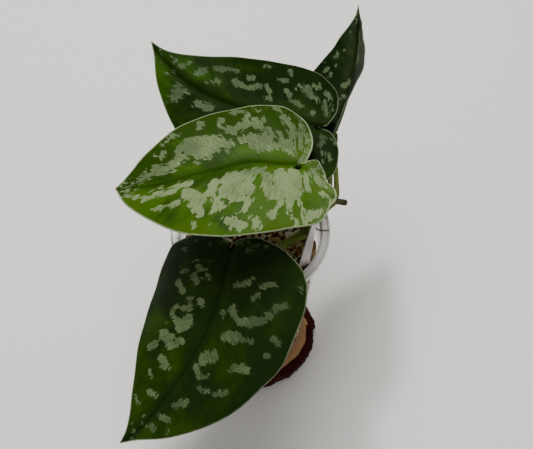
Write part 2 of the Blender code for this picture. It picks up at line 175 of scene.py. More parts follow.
LOOKS = {
    "middle": Look(slot="leaf_bright", shade=(0.016, 0.042, 0.001), middle=(0.038, 0.094, 0.001),
                   glow=(0.043, 0.094, 0.001), shift=(-0.12, 0.22, 0.0), silver_low=(0.088, 0.124, 0.056),
                   silver_high=(0.192, 0.256, 0.116), ragged=(3.2, 2.8, 1.6), seed=3, gloss=0.06, grow=0.30,
                   fleck=70, bow=((-3.3, 0.25, 0.14), (3.3, 0.76, 0.17)),
                   dents=((-1, 0.05, 0.025, 1.5), (1, 0.09, 0.03, 2.6), (1, 0.205, 0.035, -2.4),
                          (1, 0.335, 0.03, -2.2), (1, 0.385, 0.03, 1.3), (1, 0.47, 0.06, -2.4)),
                   pit=(0.3, 3.0, 1.8), trim=(0.75, 0.9), zone=0.34, curl=0.55, flap=(1, -9, 3, 6.5, 4.2)),
    # The front blade's greens darken towards its stalk (shift): painted shade, standing in for the middle
    # blade's shadow.
    "front": Look(slot="leaf_dark", shade=(0.007, 0.018, 0.002), middle=(0.011, 0.030, 0.001),
                  glow=(0.021, 0.048, 0.002), shift=(0.30, -0.03, -0.16), silver_low=(0.048, 0.074, 0.030),
                  silver_high=(0.108, 0.155, 0.066), ragged=(1.7, 2.0, 2.0), seed=11, gloss=0.05,
                  bow=((1.7, 0.33, 0.17), (-0.8, 0.65, 0.12)), dents=((1, 0.585, 0.03, 1.6),),
                  trim=(0.55, 0.8), zone=-0.22),
    "rear": Look(slot="leaf_dark", shade=(0.005, 0.014, 0.001), middle=(0.009, 0.026, 0.001),
                 glow=(0.023, 0.062, 0.001), shift=(0.30, 0.16, -0.18), silver_low=(0.044, 0.070, 0.030),
                 silver_high=(0.088, 0.126, 0.060), ragged=(1.7, 2.0, 2.0), seed=23, gloss=0.02, fleck=45,
                 bow=((-3.8, 0.20, 0.20), (1.1, 0.74, 0.15))),
    "top": Look(slot="leaf_dark", shade=(0.003, 0.009, 0.001), middle=(0.006, 0.016, 0.002),
                glow=(0.016, 0.030, 0.002), shift=(0.12, 0.0, -0.10), silver_low=(0.050, 0.075, 0.034),
                silver_high=(0.085, 0.120, 0.058), ragged=(1.5, 2.2, 1.2), seed=31, gloss=0.04),
}

# The main silver splashes. Each is a stroke: from (along, across) to (along, across), in percent of the
# blade's length and half width with the left half positive, and its half width in millimetres.
SPLASHES = {
    "middle": [
        (54, -38, 42, -38, 5.5), (42, -37, 34, -34, 2.3), (50, -26, 46, -24, 3.0), (58, -26, 66, -16, 2.6),
        (66, -14, 76, -14, 2.4), (76, -11, 84, -5, 1.6), (57, -48, 61, -38, 1.4), (62, -34, 60, -28, 1.6),
        (71, -38, 71, -30, 1.3), (66, -60, 70, -50, 1.2), (50, -76, 50, -69, 1.7), (38, -78, 39, -67, 1.5),
        (38, -64, 35, -58, 1.5), (24, -82, 25, -68, 1.6), (26, -64, 33, -56, 2.8), (36, -54, 32, -52, 1.6),
        (31, -92, 26, -90, 1.6), (19, -97, 18, -88, 1.1), (20, -72, 18, -58, 2.1), (15, -76, 15, -68, 1.0),
        (26, -40, 14, -38, 3.2), (22, -29, 10, -26, 2.8), (13, -52, 11, -40, 2.0), (8, -44, 6, -20, 1.8),
        (5, -74, 3, -60, 2.0), (9, -92, 6, -84, 1.2), (1, -56, 1, -38, 1.8), (-3, -46, -2, -22, 1.0),
        (2, -30, 3, -14, 1.7), (-3, -64, -6, -32, 0.8),
        (88, 20, 84, 22, 1.1), (79, 25, 66, 22, 1.7), (66, 22, 56, 15, 2.0), (66, 44, 61, 40, 1.1),
        (73, 44, 70, 43, 1.0), (57, 30, 50, 40, 3.8), (53, 46, 50, 60, 2.5), (43, 20, 46, 34, 3.0),
        (44, 38, 40, 54, 2.0),
        (36, 20, 27, 18, 4.6), (38, 36, 28, 36, 4.4), (35, 50, 29, 49, 2.0), (43, 42, 43, 60, 1.5),
        (28, 52, 29, 68, 1.3), (26, 12, 19, 9, 2.4), (17, 20, 17, 48, 2.6), (10, 18, 10, 46, 4.6),
        (3, 18, 4, 48, 3.8), (9, 52, 16, 76, 1.4), (7, 54, 7, 72, 1.6), (1, 58, 0, 86, 1.0),
        (-2, 82, -6, 74, 2.0), (5, 82, 5, 88, 1.0), (37, 78, 31, 85, 3.0), (25, 80, 24, 88, 1.9),
        (54, 76, 54, 71, 1.5), (47, 79, 46, 78, 0.8), (-7, 18, -11, 40, 1.4), (-3, 20, -3, 44, 1.3),
        (-10, 46, -15, 60, 0.8), (-14, 66, -15, 74, 1.3),
    ],
    "front": [
        (17, -37, 18, -30, 2.5), (22, -58, 25, -46, 2.7), (16, -58, 15, -50, 1.4), (12, -38, 12, -24, 1.3),
        (10, -46, 9, -38, 1.0), (26, -18, 26, -14, 1.8), (27, -34, 26, -29, 1.1), (32, -35, 30, -28, 2.1),
        (40, -30, 35, -22, 3.7), (36, -50, 38, -38, 1.5), (48, -46, 46, -34, 3.0), (50, -30, 45, -20, 2.2),
        (33, -48, 32, -44, 1.2), (57, -56, 54, -50, 2.4), (57, -32, 58, -22, 2.5), (65, -36, 67, -33, 1.7),
        (73, -21, 72, -13, 1.7), (80, -31, 81, -23, 1.0), (14, -20, 15, -15, 1.1), (46, 14, 43, 24, 3.0),
        (50, 10, 53, 20, 1.8), (53, 22, 51, 28, 1.3), (56, 25, 56, 34, 1.4), (55, 45, 52, 55, 1.3),
        (43, 50, 41, 66, 2.0), (68, 14, 64, 22, 1.8), (76, 9, 75, 18, 1.7), (82, 8, 82, 15, 1.2),
        (34, 28, 33, 40, 2.3), (32, 42, 32, 56, 1.7), (24, 24, 27, 38, 1.5), (27, 38, 25, 54, 2.2),
        (25, 57, 21, 68, 1.9), (18, 68, 16, 82, 1.3), (17, 44, 15, 48, 1.6), (28, 80, 29, 86, 1.6),
        (34, 78, 34, 81, 1.0), (26, 14, 28, 18, 0.9), (14, 22, 12, 33, 1.6), (12, 48, 10, 62, 1.2),
    ],
    "rear": [
        (79, -8, 77, -20, 1.3), (70, -14, 68, -26, 2.0), (63, -37, 59, -44, 1.8), (59, -46, 51, -52, 1.1),
        (44, -51, 42, -52, 1.8), (59, -21, 58, -23, 1.5), (50, -34, 46, -34, 1.7), (46, -32, 39, -36, 1.4),
        (39, -38, 35, -46, 1.6), (34, -49, 30, -40, 1.2), (30, -27, 28, -29, 1.7), (39, -79, 35, -84, 0.8),
        (23, -87, 21, -80, 1.1), (28, -65, 23, -68, 1.3), (21, -49, 18, -44, 1.3), (14, -64, 10, -56, 1.4),
        (10, -62, 7, -53, 2.3), (8, -50, 4, -46, 1.6), (7, -69, 4, -66, 1.5), (16, -35, 11, -30, 1.6),
        (5, -20, 4, -21, 1.3), (-1, -60, -3, -50, 1.4), (-1, -44, -3, -22, 1.3), (71, 32, 70, 22, 2.2),
        (74, 16, 67, 16, 1.3), (60, 22, 54, 17, 2.1), (-2, 29, -4, 17, 1.0), (-7, 38, -8, 47, 1.0),
    ],
    "top": [
        (76, -10, 65, -30, 2.4), (65, -26, 45, -50, 2.8), (62, 36, 65, 32, 1.1), (52, 50, 53, 48, 1.0),
        (47, 39, 49, 38, 0.9), (39, 10, 43, 2, 1.4), (29, 8, 32, 5, 1.0), (22, -29, 22, -36, 2.4),
    ],
}

# Routes
VINE_ROUTE = [(30, 3, 92), (33, 4.5, 107), (35.6, 5.8, 120), (37.6, 6.8, 131), (41, 8, 139.2),
              (46.5, 9.8, 143), (50.6, 11.8, 147), (51.5, 12.6, 150)]
STUB_ROUTE = [(50.2, 11.6, 146.4), (53, 11.5, 147.3), (57.5, 11.2, 146.6)]
ROOT_ROUTE = [(40.4, 7.6, 137.4), (39.4, 3.2, 137.2), (39.9, -0.6, 136.7), (42, -2.1, 136.3),
              (45, -2.3, 136.15), (47.9, -1.9, 136.1)]
PETIOLE_ROUTES = {
    "front": [(35.6, 5.8, 120), (29.5, 2, 121.6), (19, -5, 121.8), (8, -13, 128), (0, -21, 142),
              (-6, -28, 156)],
    "middle": [(44.2, 9, 141.7), (45.5, 4, 149), (44.5, -3.5, 163), (39.5, -10, 179), (33, -6.5, 190.5)],
    "rear": [(48.6, 11, 144.6), (47.9, 15.3, 151), (48.3, 20, 160), (47.6, 25.5, 171), (44.5, 30.5, 181)],
    "top": [(51.4, 12.5, 149), (52.3, 14.6, 152.2), (52.3, 19, 154.2), (52.1, 26, 156.8), (51.6, 34, 160),
            (51.6, 41, 162.6)],
}
# How far under the blade each stalk turns up towards it
PETIOLE_APPROACH = {"front": 6, "middle": 6, "rear": 6, "top": 2.6}
# How much a stalk's flare adds to its radius, and over what share of it
WIDE_CLASP = (1.3, 0.42)
PLAIN_CLASP = (0.35, 0.10)
# Shares of the vine at which its nodes swell, and by how much
VINE_NODES = (0.22, 0.43, 0.66, 0.84, 0.93)
VINE_NODE_SWELL = 0.42


# Material nodes

class Finish:
    """One procedural material on a Principled shader, built up a node at a time."""

    def __init__(self, name, **sockets):
        self.material = bpy.data.materials.new(name)
        self.material.use_nodes = True
        self.tree = self.material.node_tree
        self.shader = self.tree.nodes["Principled BSDF"]
        for socket, value in sockets.items():
            self.shader.inputs[socket.replace("_", " ")].default_value = value

    def feed(self, socket, value):
        """Links a value into a socket, or writes it there if it is plain."""
        if isinstance(value, bpy.types.NodeSocket):
            self.tree.links.new(value, socket)
        elif isinstance(value, tuple) and len(value) == 3 and socket.type == "RGBA":
            socket.default_value = (*value, 1.0)
        else:
            socket.default_value = value

    def set(self, name, value):
        self.feed(self.shader.inputs[name], value)

    def node(self, kind, values=(), **settings):
        """A new node, with its settings made and values fed to its inputs, in order or by name."""
        node = self.tree.nodes.new("ShaderNode" + kind)
        for name, setting in settings.items():
            setattr(node, name, setting)
        for key, value in values.items() if isinstance(values, dict) else enumerate(values):
            self.feed(node.inputs[key], value)
        return node

    def attribute(self, name, output="Fac"):
        return self.node("Attribute", attribute_name=name).outputs[output]

    def place(self):
        return self.node("TexCoord").outputs["Object"]

    def split(self, vector):
        return self.node("SeparateXYZ", [vector]).outputs

    def join(self, x, y, z):
        return self.node("CombineXYZ", [x, y, z]).outputs[0]

    def math(self, operation, a, b=0.0, c=0.0):
        return self.node("Math", [a, b, c], operation=operation).outputs[0]

    def add(self, a, b):
        return self.math("ADD", a, b)

    def times(self, a, b):
        return self.math("MULTIPLY", a, b)

    def blend(self, a, share_a, b, share_b):
        """Two values added up, each by its share."""
        return self.add(self.times(a, share_a), self.times(b, share_b))

    def swing(self, value, height):
        """A noise value from 0 to 1 as a swing of about plus and minus half of height."""
        return self.math("MULTIPLY_ADD", value, height, -height / 2)

    def step(self, value, low, high, to_low=0.0, to_high=1.0):
        """A smooth step from to_low to to_high as the value goes from low to high."""
        values = [value, low, high, to_low, to_high]
        return self.node("MapRange", values, interpolation_type="SMOOTHSTEP").outputs[0]

    def scaled(self, vector, factors):
        return self.node("VectorMath", [vector, factors], operation="MULTIPLY").outputs[0]

    def shifted(self, vector, other):
        return self.node("VectorMath", [vector, other], operation="ADD").outputs[0]

    def noise(self, vector, scale=1.0, detail=2.0, roughness=0.5):
        values = {"Vector": vector, "Scale": scale, "Detail": detail, "Roughness": roughness}
        return self.node("TexNoise", values).outputs["Fac"]

    def cells(self, vector, scale=1.0, output="Distance"):
        return self.node("TexVoronoi", {"Vector": vector, "Scale": scale}).outputs[output]

    def mix(self, share, a, b, blend="MIX"):
        node = self.node("Mix", data_type="RGBA", blend_type=blend)
        colours = [socket for socket in node.inputs if socket.type == "RGBA"]
        for socket, value in zip([node.inputs["Factor"], *colours], [share, a, b]):
            self.feed(socket, value)
        return [socket for socket in node.outputs if socket.type == "RGBA"][0]

    def tint(self, colour, value, low, high, share, paint):
        """The colour with paint laid over it, from none at low to its full share at high."""
        return self.mix(self.step(value, low, high, 0.0, share), colour, paint)

    def bands(self, value, stops):
        """Bands of plain colour, each from its own value up."""
        node = self.node("ValToRGB", [value])
        ramp = node.color_ramp
        ramp.interpolation = "CONSTANT"
        while len(ramp.elements) < len(stops):
            ramp.elements.new(1.0)
        for element, (position, colour) in zip(ramp.elements, stops):
            element.position = position
            element.color = (*colour, 1.0)
        return node.outputs[0]

    def bump(self, height, depth, strength=1.0):
        """Relief of a height from 0 to 1 that is depth millimetres deep."""
        node = self.node("Bump", {"Strength": strength, "Distance": depth * MM, "Height": height})
        self.set("Normal", node.outputs[0])


# Meshes

def solid(name, points, faces, finish, node, attributes=None):
    """An object from points in millimetres, with its finish, body and the node that it stands for."""
    mesh = bpy.data.meshes.new(name)
    mesh.from_pydata((np.asarray(points) * MM).tolist(), [], faces)
    for key, values in (attributes or {}).items():
        values = np.asarray(values, np.float32)
        kind, field = ("FLOAT", "value") if values.ndim == 1 else ("FLOAT_VECTOR", "vector")
        mesh.attributes.new(key, kind, "POINT").data.foreach_set(field, values.ravel())
    mesh.validate()
    mesh.shade_smooth()
    mesh.materials.append(finish)
    return dressed(bpy.data.objects.new(name, mesh), node)


def dressed(thing, node):
    bpy.context.scene.collection.objects.link(thing)
    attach(thing, BODY)
    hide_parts(node)
    return thing


def smooth_route(points, per_span):
    """Points along one smooth curve through the given ones, by Catmull-Rom spans."""
    points = np.asarray(points, float)
    ends = np.vstack([2 * points[0] - points[1], points, 2 * points[-1] - points[-2]])
    route = []
    for i in range(len(points) - 1):
        a, b, c, d = ends[i:i + 4]
        for t in np.arange(per_span) / per_span:
            route.append(0.5 * (2 * b + (c - a) * t + (2 * a - 5 * b + 4 * c - d) * t ** 2
                                + (3 * b - a - 3 * c + d) * t ** 3))
    route.append(points[-1])
    return np.array(route)


def lathe_faces(rings, sides):
    """Quads between rings of points, each ring closed on itself, with a fan of one point at both ends."""
    faces = []
    for i in range(rings - 1):
        for j in range(sides):
            k = (j + 1) % sides
            low, high = 1 + i * sides, 1 + (i + 1) * sides
            faces.append((low + j, low + k, high + k, high + j))
    last = 1 + rings * sides
    for j in range(sides):
        k = (j + 1) % sides
        faces.append((0, 1 + k, 1 + j))
        faces.append((last, last - sides + j, last - sides + k))
    return faces


def tube(route, radius, sides=24, per_span=10):
    """A round-ended tube: radius is a function of (share along, angle round), in millimetres. Returns points,
    faces and each point's (distance along, angle, share along)."""
    centre = smooth_route(route, per_span)
    length = np.concatenate([[0], np.cumsum(np.linalg.norm(np.diff(centre, axis=0), axis=1))])
    tangent = np.gradient(centre, axis=0)
    tangent /= np.linalg.norm(tangent, axis=1)[:, None]
    side = np.cross(tangent[0], (0, 1, 0.2))
    angle = np.linspace(0, math.tau, sides, endpoint=False)
    points, marks = [], []
    caps = [(0.35, 0.92), (0.75, 0.66)]
    total = length[-1]

    def ring(i, shift, shrink):
        nonlocal side
        side = side - side.dot(tangent[i]) * tangent[i]
        side = side / np.linalg.norm(side)
        up = np.cross(tangent[i], side)
        share = length[i] / total
        reach = radius(share, angle) * shrink
        middle = centre[i] + tangent[i] * shift * reach.mean() / max(shrink, 0.01)
        points.extend(middle + np.outer(reach * np.cos(angle), side) + np.outer(reach * np.sin(angle), up))
        marks.extend((length[i], a, share) for a in angle)
        return middle

    start = centre[0] - tangent[0] * radius(0.0, angle).mean() * 0.9
    for shift, shrink in reversed(caps):
        ring(0, -shift, shrink)
    for i in range(len(centre)):
        ring(i, 0, 1)
    for shift, shrink in caps:
        ring(len(centre) - 1, shift, shrink)
    end = centre[-1] + tangent[-1] * radius(1.0, angle).mean() * 0.9
    rings = len(points) // sides
    marks = np.array([(0, 0, 0), *marks, (total, 0, 1)])
    return np.array([start, *points, end]), lathe_faces(rings, sides), marks


def join_parts(parts):
    """Several (points, faces, marks) as one."""
    points, faces, marks = [], [], []
    for some_points, some_faces, some_marks in parts:
        start = sum(len(p) for p in points)
        points.append(some_points)
        marks.append(some_marks)
        faces.extend(tuple(start + k for k in face) for face in some_faces)
    return np.vstack(points), faces, np.vstack(marks)


# Leaves

def half_outline(lobe, tip):
    """One half of the blade as (share of length, share of half width), from the stalk to the tip."""
    narrow = tip - 0.77
    return [(0, 0), (-0.6 * lobe, 0.07), (-lobe, 0.34), (0.05 - 1.25 * lobe, 0.70), (0.10 - 0.3 * lobe, 0.97),
            (0.30 + 0.3 * narrow, 0.985), (0.55 + 0.6 * narrow, 0.76 + 0.5 * narrow), (tip, 0.38),
            (0.6 * tip + 0.445, 0.11), (1, 0)]


def turned_axes(leaf):
    heading, pitch, roll = (math.radians(angle) for angle in (leaf.heading, leaf.pitch, leaf.roll))
    ahead = np.array([math.cos(pitch) * math.cos(heading), math.cos(pitch) * math.sin(heading),
                      math.sin(pitch)])
    left = np.array([-math.sin(heading), math.cos(heading), 0.0])
    up = np.cross(ahead, left)
    return np.array([ahead, left * math.cos(roll) + up * math.sin(roll),
                     up * math.cos(roll) - left * math.sin(roll)])


def midrib(leaf, x):
    """Places and (left, up) axes on the midrib at distances x, in the leaf's own frame."""
    share = np.linspace(0, 1, MIDRIB_STEPS + 1)
    dip = np.radians(leaf.droop[0] * share + leaf.droop[1] * share ** 2)
    swing = np.radians(leaf.hook[0] * share + leaf.hook[1] * share ** 2)
    along = np.stack([np.cos(dip) * np.cos(swing), np.sin(swing), np.sin(dip) * np.cos(swing)], 1)
    spine = np.cumsum((along[1:] + along[:-1]) / 2, 0) * leaf.length / MIDRIB_STEPS
    spine = np.vstack([np.zeros(3), spine])
    at = np.clip(np.asarray(x) / leaf.length, 0, 1)
    tangent = np.stack([np.interp(at, share, along[:, i]) for i in range(3)], 1)
    tangent /= np.linalg.norm(tangent, axis=1)[:, None]
    place = np.stack([np.interp(at, share, spine[:, i]) for i in range(3)], 1)
    place += tangent * np.minimum(x, 0)[:, None]
    turn = np.interp(at, share, swing)
    left = np.stack([-np.sin(turn), np.cos(turn), np.zeros(len(at))], 1)
    left -= (left * tangent).sum(1)[:, None] * tangent
    left /= np.linalg.norm(left, axis=1)[:, None]
    up = np.cross(tangent, left)
    roll = np.radians(leaf.twist * at)[:, None]
    return place, left * np.cos(roll) + up * np.sin(roll), up * np.cos(roll) - left * np.sin(roll)


def margin_line(leaf, look, side):
    """The outline of one half in the flattened blade, and the shares along it of its points."""
    index = 0 if side > 0 else 1
    knots = smooth_route(half_outline(leaf.lobe[index], leaf.tip[index]), 24)
    line = knots * (leaf.length, leaf.half_width)
    steps = np.linspace(0, 1, len(line))
    run = np.gradient(line, axis=0)
    outward = np.stack([-run[:, 1], run[:, 0]], 1) / np.linalg.norm(run, axis=1)[:, None]
    for half, at, width, out in look.dents:
        if half == side:
            line = line + outward * (out * np.exp(-((steps - at) / width) ** 2))[:, None]
    line[:, 1] = np.maximum(line[:, 1], 0)
    line[0] = 0
    return steps, line


def rib_offset(look, share):
    """How far the midrib's groove lies to the left of the blade's middle line."""
    bends = (out * np.exp(-((share - at) / width) ** 2) for out, at, width in look.bow)
    return sum(bends, np.zeros(len(share)))


def flat_points(leaf, look, side, p, q):
    """Where (p, q) lies in the flattened blade: along the midrib, and across it, both in millimetres."""
    steps, line = margin_line(leaf, look, side)
    margin_x = np.interp(p, steps, line[:, 0])
    margin_y = np.interp(p, steps, line[:, 1])
    root = leaf.length * np.clip((p - FAN_END) / (1 - FAN_END), 0, 1) ** 1.2
    return root + (margin_x - root) * q, margin_y * q


def blade_points(leaf, look, side, p, q):
    """The blade's middle surface at (p, q), as in its solid, with ripples and a channel at the midrib."""
    index = 0 if side > 0 else 1
    x, y = flat_points(leaf, look, side, p, q)
    place, left, up = midrib(leaf, x)
    rise = math.radians(leaf.rise[index])
    bend = math.radians(leaf.curl[index]) / leaf.half_width
    across = (math.sin(rise) - np.sin(rise - bend * y)) / bend
    lift = (np.cos(rise - bend * y) - math.cos(rise)) / bend
    share = np.clip(x / leaf.length, 0, 1)
    hump = np.sin(math.pi * p)
    lift += WAVE_HEIGHT * np.sin(math.tau * MARGIN_WAVES * p + 1.7 * side) * hump * q ** 2
    lift += RIPPLE_HEIGHT * np.sin(math.tau * RIPPLES * p + 2.3 * side) * hump * q ** 5
    quilt = np.sin(math.tau * VEINS * p + side) * np.sin(math.pi * q)
    lift += QUILT_HEIGHT * quilt * np.clip((p - 0.3) * 4, 0, 1)
    channel = np.exp(-((side * y - rib_offset(look, share)) / CHANNEL_WIDTH) ** 2)
    lift -= CHANNEL_DEPTH * channel * (1 - 0.6 * share) * np.clip(share * 12 + 0.3, 0, 1)
    off_pit = (x - look.pit[0]) ** 2 + (side * y - look.pit[1]) ** 2
    lift -= look.pit[2] * np.exp(-off_pit / PIT_RADIUS ** 2)
    if look.flap and look.flap[0] == side:
        _, flap_x, flap_y, reach, height = look.flap
        lift += height * np.exp(-((x - flap_x) ** 2 + (y - flap_y) ** 2) / reach ** 2) * np.clip(-x / 4, 0, 1)
    local = place + side * left * across[:, None] + up * lift[:, None]
    return np.array(leaf.base) + local @ turned_axes(leaf)


def blade_grid():
    """Shares (p, q), sides and faces of a blade whose halves meet in one row of points at the midrib."""
    rows, columns = LEAF_ROWS, LEAF_COLUMNS
    p = np.linspace(0, 1, rows + 1)
    q = np.linspace(0, 1, columns + 1)
    spots = [(1, 0.0, 0.0), (1, 1.0, 1.0)]
    ids = np.zeros((2, rows + 1, columns + 1), int)
    ids[:, rows, :] = 1
    for half, side in enumerate((1, -1)):
        for i in range(1, rows):
            for j in range(columns + 1):
                if j == 0 and p[i] <= FAN_END:
                    ids[half, i, j] = 0
                elif j == 0 and half == 1:
                    ids[half, i, j] = ids[0, i, 0]
                else:
                    ids[half, i, j] = len(spots)
                    spots.append((side, p[i], q[j]))
    faces = []
    for half in (0, 1):
        for i in range(rows):
            for j in range(columns):
                ring = [ids[half, i, j], ids[half, i, j + 1], ids[half, i + 1, j + 1], ids[half, i + 1, j]]
                corners = [int(k) for n, k in enumerate(ring) if k != ring[n - 1]]
                if len(set(corners)) == len(corners) and len(corners) > 2:
                    faces.append(tuple(corners if half else corners[::-1]))
    return np.array(spots), faces


def open_edges(faces):
    """The directed edges that only one face uses."""
    used = {(a, b) for face in faces for a, b in zip(face, face[1:] + face[:1])}
    return [edge for edge in used if (edge[1], edge[0]) not in used]


def distance_to_line(points, line):
    """Each point's distance to a polyline."""
    best = np.full(len(points), 1e9)
    for a, b in zip(line[:-1], line[1:]):
        best = np.minimum(best, distance_to_stroke(points, a, b))
    return best


def distance_to_stroke(points, a, b):
    run = b - a
    share = np.clip(((points - a) @ run) / max(run @ run, 1e-9), 0, 1)
    return np.linalg.norm(points - a - share[:, None] * run, axis=1)


def splash_field(key, leaf, look, flat):
    """How far inside a silver splash each point lies, in millimetres, negative outside."""
    scale = np.array([leaf.length, leaf.half_width]) / 100
    field = np.full(len(flat), -4.0)
    for x1, y1, x2, y2, half in SPLASHES[key]:
        reach = distance_to_stroke(flat, np.array([x1, y1]) * scale, np.array([x2, y2]) * scale)
        field = np.maximum(field, half + look.grow - reach)
    draw = random.Random(look.seed)
    for _ in range(look.fleck):
        p, q, side = draw.uniform(0.12, 0.97), draw.uniform(0.25, 0.96), draw.choice((1, -1))
        x1, y1 = flat_points(leaf, look, side, np.array([p]), np.array([q]))
        x2, y2 = flat_points(leaf, look, side, np.array([p]), np.array([q - draw.uniform(0.01, 0.05)]))
        start, end = np.array([x1[0], side * y1[0]]), np.array([x2[0], side * y2[0]])
        field = np.maximum(field, draw.uniform(0.1, 0.8) - distance_to_stroke(flat, start, end))
    return field


def leaf_finish(key, leaf, look):
    """A blade's surface: greens, the silver over them, the pale margin, the back, and painted shade in the pit
    at the stalk.
    """
    finish = Finish("leaf_%s_surface" % key, Roughness=0.5, Specular_IOR_Level=look.gloss)
    vein = finish.attribute("vein", "Vector")
    flat = finish.attribute("flat", "Vector")
    along, across, _ = finish.split(flat)
    rib, edge, under, pit = (finish.attribute(name) for name in ("rib", "edge", "under", "pit"))
    seed = (look.seed * 3.7, look.seed * 1.3, 0.0)

    def stretched(vector, *factors):
        return finish.shifted(finish.scaled(vector, factors), seed)

    streak = finish.noise(stretched(vein, 80, 4.0, 9), roughness=0.55)
    thread = finish.noise(stretched(vein, 300, 7, 9))
    block, _, _ = finish.split(finish.cells(stretched(vein, 100, 11, 9), output="Color"))
    patch = finish.noise(stretched(flat, 0.035, 0.05, 1))
    cloud = finish.noise(stretched(flat, 0.07, 0.07, 1))
    grain = finish.noise(flat, 0.9)
    fine = finish.noise(flat, 3.0, roughness=0.6)

    tone = finish.add(patch, finish.swing(streak, 0.30))
    tone = finish.math("MULTIPLY_ADD", along, look.shift[0] / leaf.length, tone)
    tone = finish.math("MULTIPLY_ADD", across, look.shift[1] / leaf.half_width, tone)
    tone = finish.add(tone, look.shift[2])
    green = finish.tint(look.shade, tone, 0.34, 0.56, 1.0, look.middle)
    green = finish.tint(green, tone, 0.50, 0.74, 1.0, look.glow)
    near_stalk = finish.step(along, 0.5 * leaf.length, 0.3 * leaf.length)
    beside = finish.times(finish.step(rib, 12.0, 4.0), near_stalk)
    green = finish.mix(finish.times(beside, 0.15), green, look.glow)
    green = finish.tint(green, rib, 5.5, 0.5, 0.65, look.shade)
    # Painted shade: the midrib's crease is painted darker still, as the shade that falls into the groove.
    green = finish.tint(green, rib, 1.1, 0.3, 0.6, tuple(0.5 * part for part in look.shade))
    green = finish.tint(green, fine, 0.45, 0.7, 0.20, look.shade)

    field = finish.attribute("splash")
    for value, swing in zip((streak, block, grain), look.ragged):
        field = finish.add(field, finish.swing(value, swing))
    inside = finish.step(field, -0.12, 0.14)
    shine = finish.add(finish.add(cloud, finish.swing(thread, 0.8)), finish.swing(grain, 0.7))
    shine = finish.math("MULTIPLY_ADD", across, look.zone / leaf.half_width, shine)
    silver = finish.tint(look.silver_low, shine, 0.25, 0.75, 1.0, look.silver_high)
    top = finish.tint(green, field, -1.4, 0.1, 0.12, look.silver_low)
    top = finish.mix(finish.times(inside, 0.93), top, silver)

    pale_edge = tuple(0.6 * a + 0.4 * b for a, b in zip(look.silver_high, (0.40, 0.44, 0.30)))
    away_from_stalk = finish.step(pit, 3.0, 4.5)
    wander = finish.blend(grain, 7.0, cloud, 9.0)
    curl = finish.step(finish.math("SINE", finish.add(finish.times(edge, 5.2), wander)), 0.55, 0.85)
    for mask in (finish.step(edge, 5.0, 2.5), finish.step(along, 2.0, -5.0), away_from_stalk,
                 finish.step(streak, 0.38, 0.52)):
        curl = finish.times(curl, mask)
    top = finish.mix(finish.times(curl, look.curl), top, pale_edge)
    wide, pale = look.trim
    rim_width = finish.add(edge, finish.swing(streak, 0.8))
    margin = finish.times(finish.step(rim_width, wide + 0.25, wide - 0.25, 0.0, pale), away_from_stalk)
    top = finish.mix(margin, top, pale_edge)
    top = finish.tint(top, finish.cells(flat, 0.11), 0.050, 0.03, 0.5, look.silver_high)
    # Painted shade: the pit at the stalk is painted near-black, as the shade that falls into it.
    top = finish.tint(top, pit, 2.5, 1.6, 1.0, (0.002, 0.003, 0.001))

    dull = tuple(0.55 * m + 0.45 * s for m, s in zip(look.glow, (0.11, 0.17, 0.075)))
    back = finish.tint(tuple(0.62 * part for part in dull), streak, 0.3, 0.7, 1.0, dull)
    back = finish.tint(back, rib, 1.8, 0.5, 0.6, (0.20, 0.26, 0.10))
    colour = finish.tint(top, under, 0.4, 0.6, 1.0, back)
    dry = finish.add(along, finish.swing(grain, 1.6))
    colour = finish.tint(colour, dry, leaf.length - 2.2, leaf.length - 0.9, 1.0, (0.16, 0.085, 0.03))
    finish.set("Base Color", colour)
    matt_groove = finish.step(rib, 3.5, 1.0, 0.0, 0.85)
    finish.set("Roughness", finish.math("MAXIMUM", finish.step(inside, 0.0, 1.0, 0.48, 0.62), matt_groove))
    finish.bump(finish.blend(thread, 0.7, fine, 0.3), 0.10, 0.4)
    return finish.material


def leaf_piece(key, leaf, look, spots, faces):
    side, p, q = spots.T
    sheet = np.zeros((len(spots), 3))
    flat = np.zeros((len(spots), 3))
    edge = np.zeros(len(spots))
    for half in (1, -1):
        pick = side == half
        sheet[pick] = blade_points(leaf, look, half, p[pick], q[pick])
        x, y = flat_points(leaf, look, half, p[pick], q[pick])
        flat[pick, 0] = x
        flat[pick, 1] = half * y
        edge[pick] = distance_to_line(np.stack([x, y], 1), margin_line(leaf, look, half)[1])
    measure = bpy.data.meshes.new("measure")
    measure.from_pydata(sheet.tolist(), [], faces)
    normals = np.array([v.vector for v in measure.vertex_normals])
    bpy.data.meshes.remove(measure)

    share = np.clip(flat[:, 0] / leaf.length, 0, 1)
    away = np.abs(flat[:, 1] - rib_offset(look, share))
    pit = np.hypot(flat[:, 0] - look.pit[0], flat[:, 1] - look.pit[1])
    half_thick = (EDGE_THICKNESS + (BLADE_THICKNESS - EDGE_THICKNESS) * np.clip(edge / 1.8, 0, 1)) / 2
    crease = CREASE_DEPTH * np.exp(-(away / 0.8) ** 2) * (1 - 0.7 * share) * (share > 0)
    rib = RIB_HEIGHT * np.exp(-(away / 1.3) ** 2) * (1 - 0.85 * share) * (flat[:, 0] > -0.5)
    veins = VEIN_HEIGHT * np.clip(np.sin(math.tau * VEINS * p + side), 0, 1) ** 6 * (1 - q) * (p > FAN_END)
    upper = sheet + normals * (half_thick - crease)[:, None]
    lower = sheet - normals * (half_thick + rib + veins)[:, None]

    count = len(spots)
    closing = [(b, a, a + count, b + count) for a, b in open_edges(faces)]
    lower_faces = [tuple(k + count for k in face[::-1]) for face in faces]
    field = splash_field(key, leaf, look, flat[:, :2])
    twice = np.concatenate
    attributes = {
        "vein": twice([np.stack([p, q, side], 1)] * 2),
        "flat": twice([flat, flat]),
        "edge": twice([edge, edge]),
        "rib": twice([away, away]),
        "pit": twice([pit, pit]),
        "splash": twice([field, field]),
        "under": twice([np.zeros(count), np.ones(count)]),
    }
    solid("leaf_%s_blade" % key, twice([upper, lower]), faces + lower_faces + closing,
          leaf_finish(key, leaf, look), "leaf_" + key, attributes)


# Stalks and vine

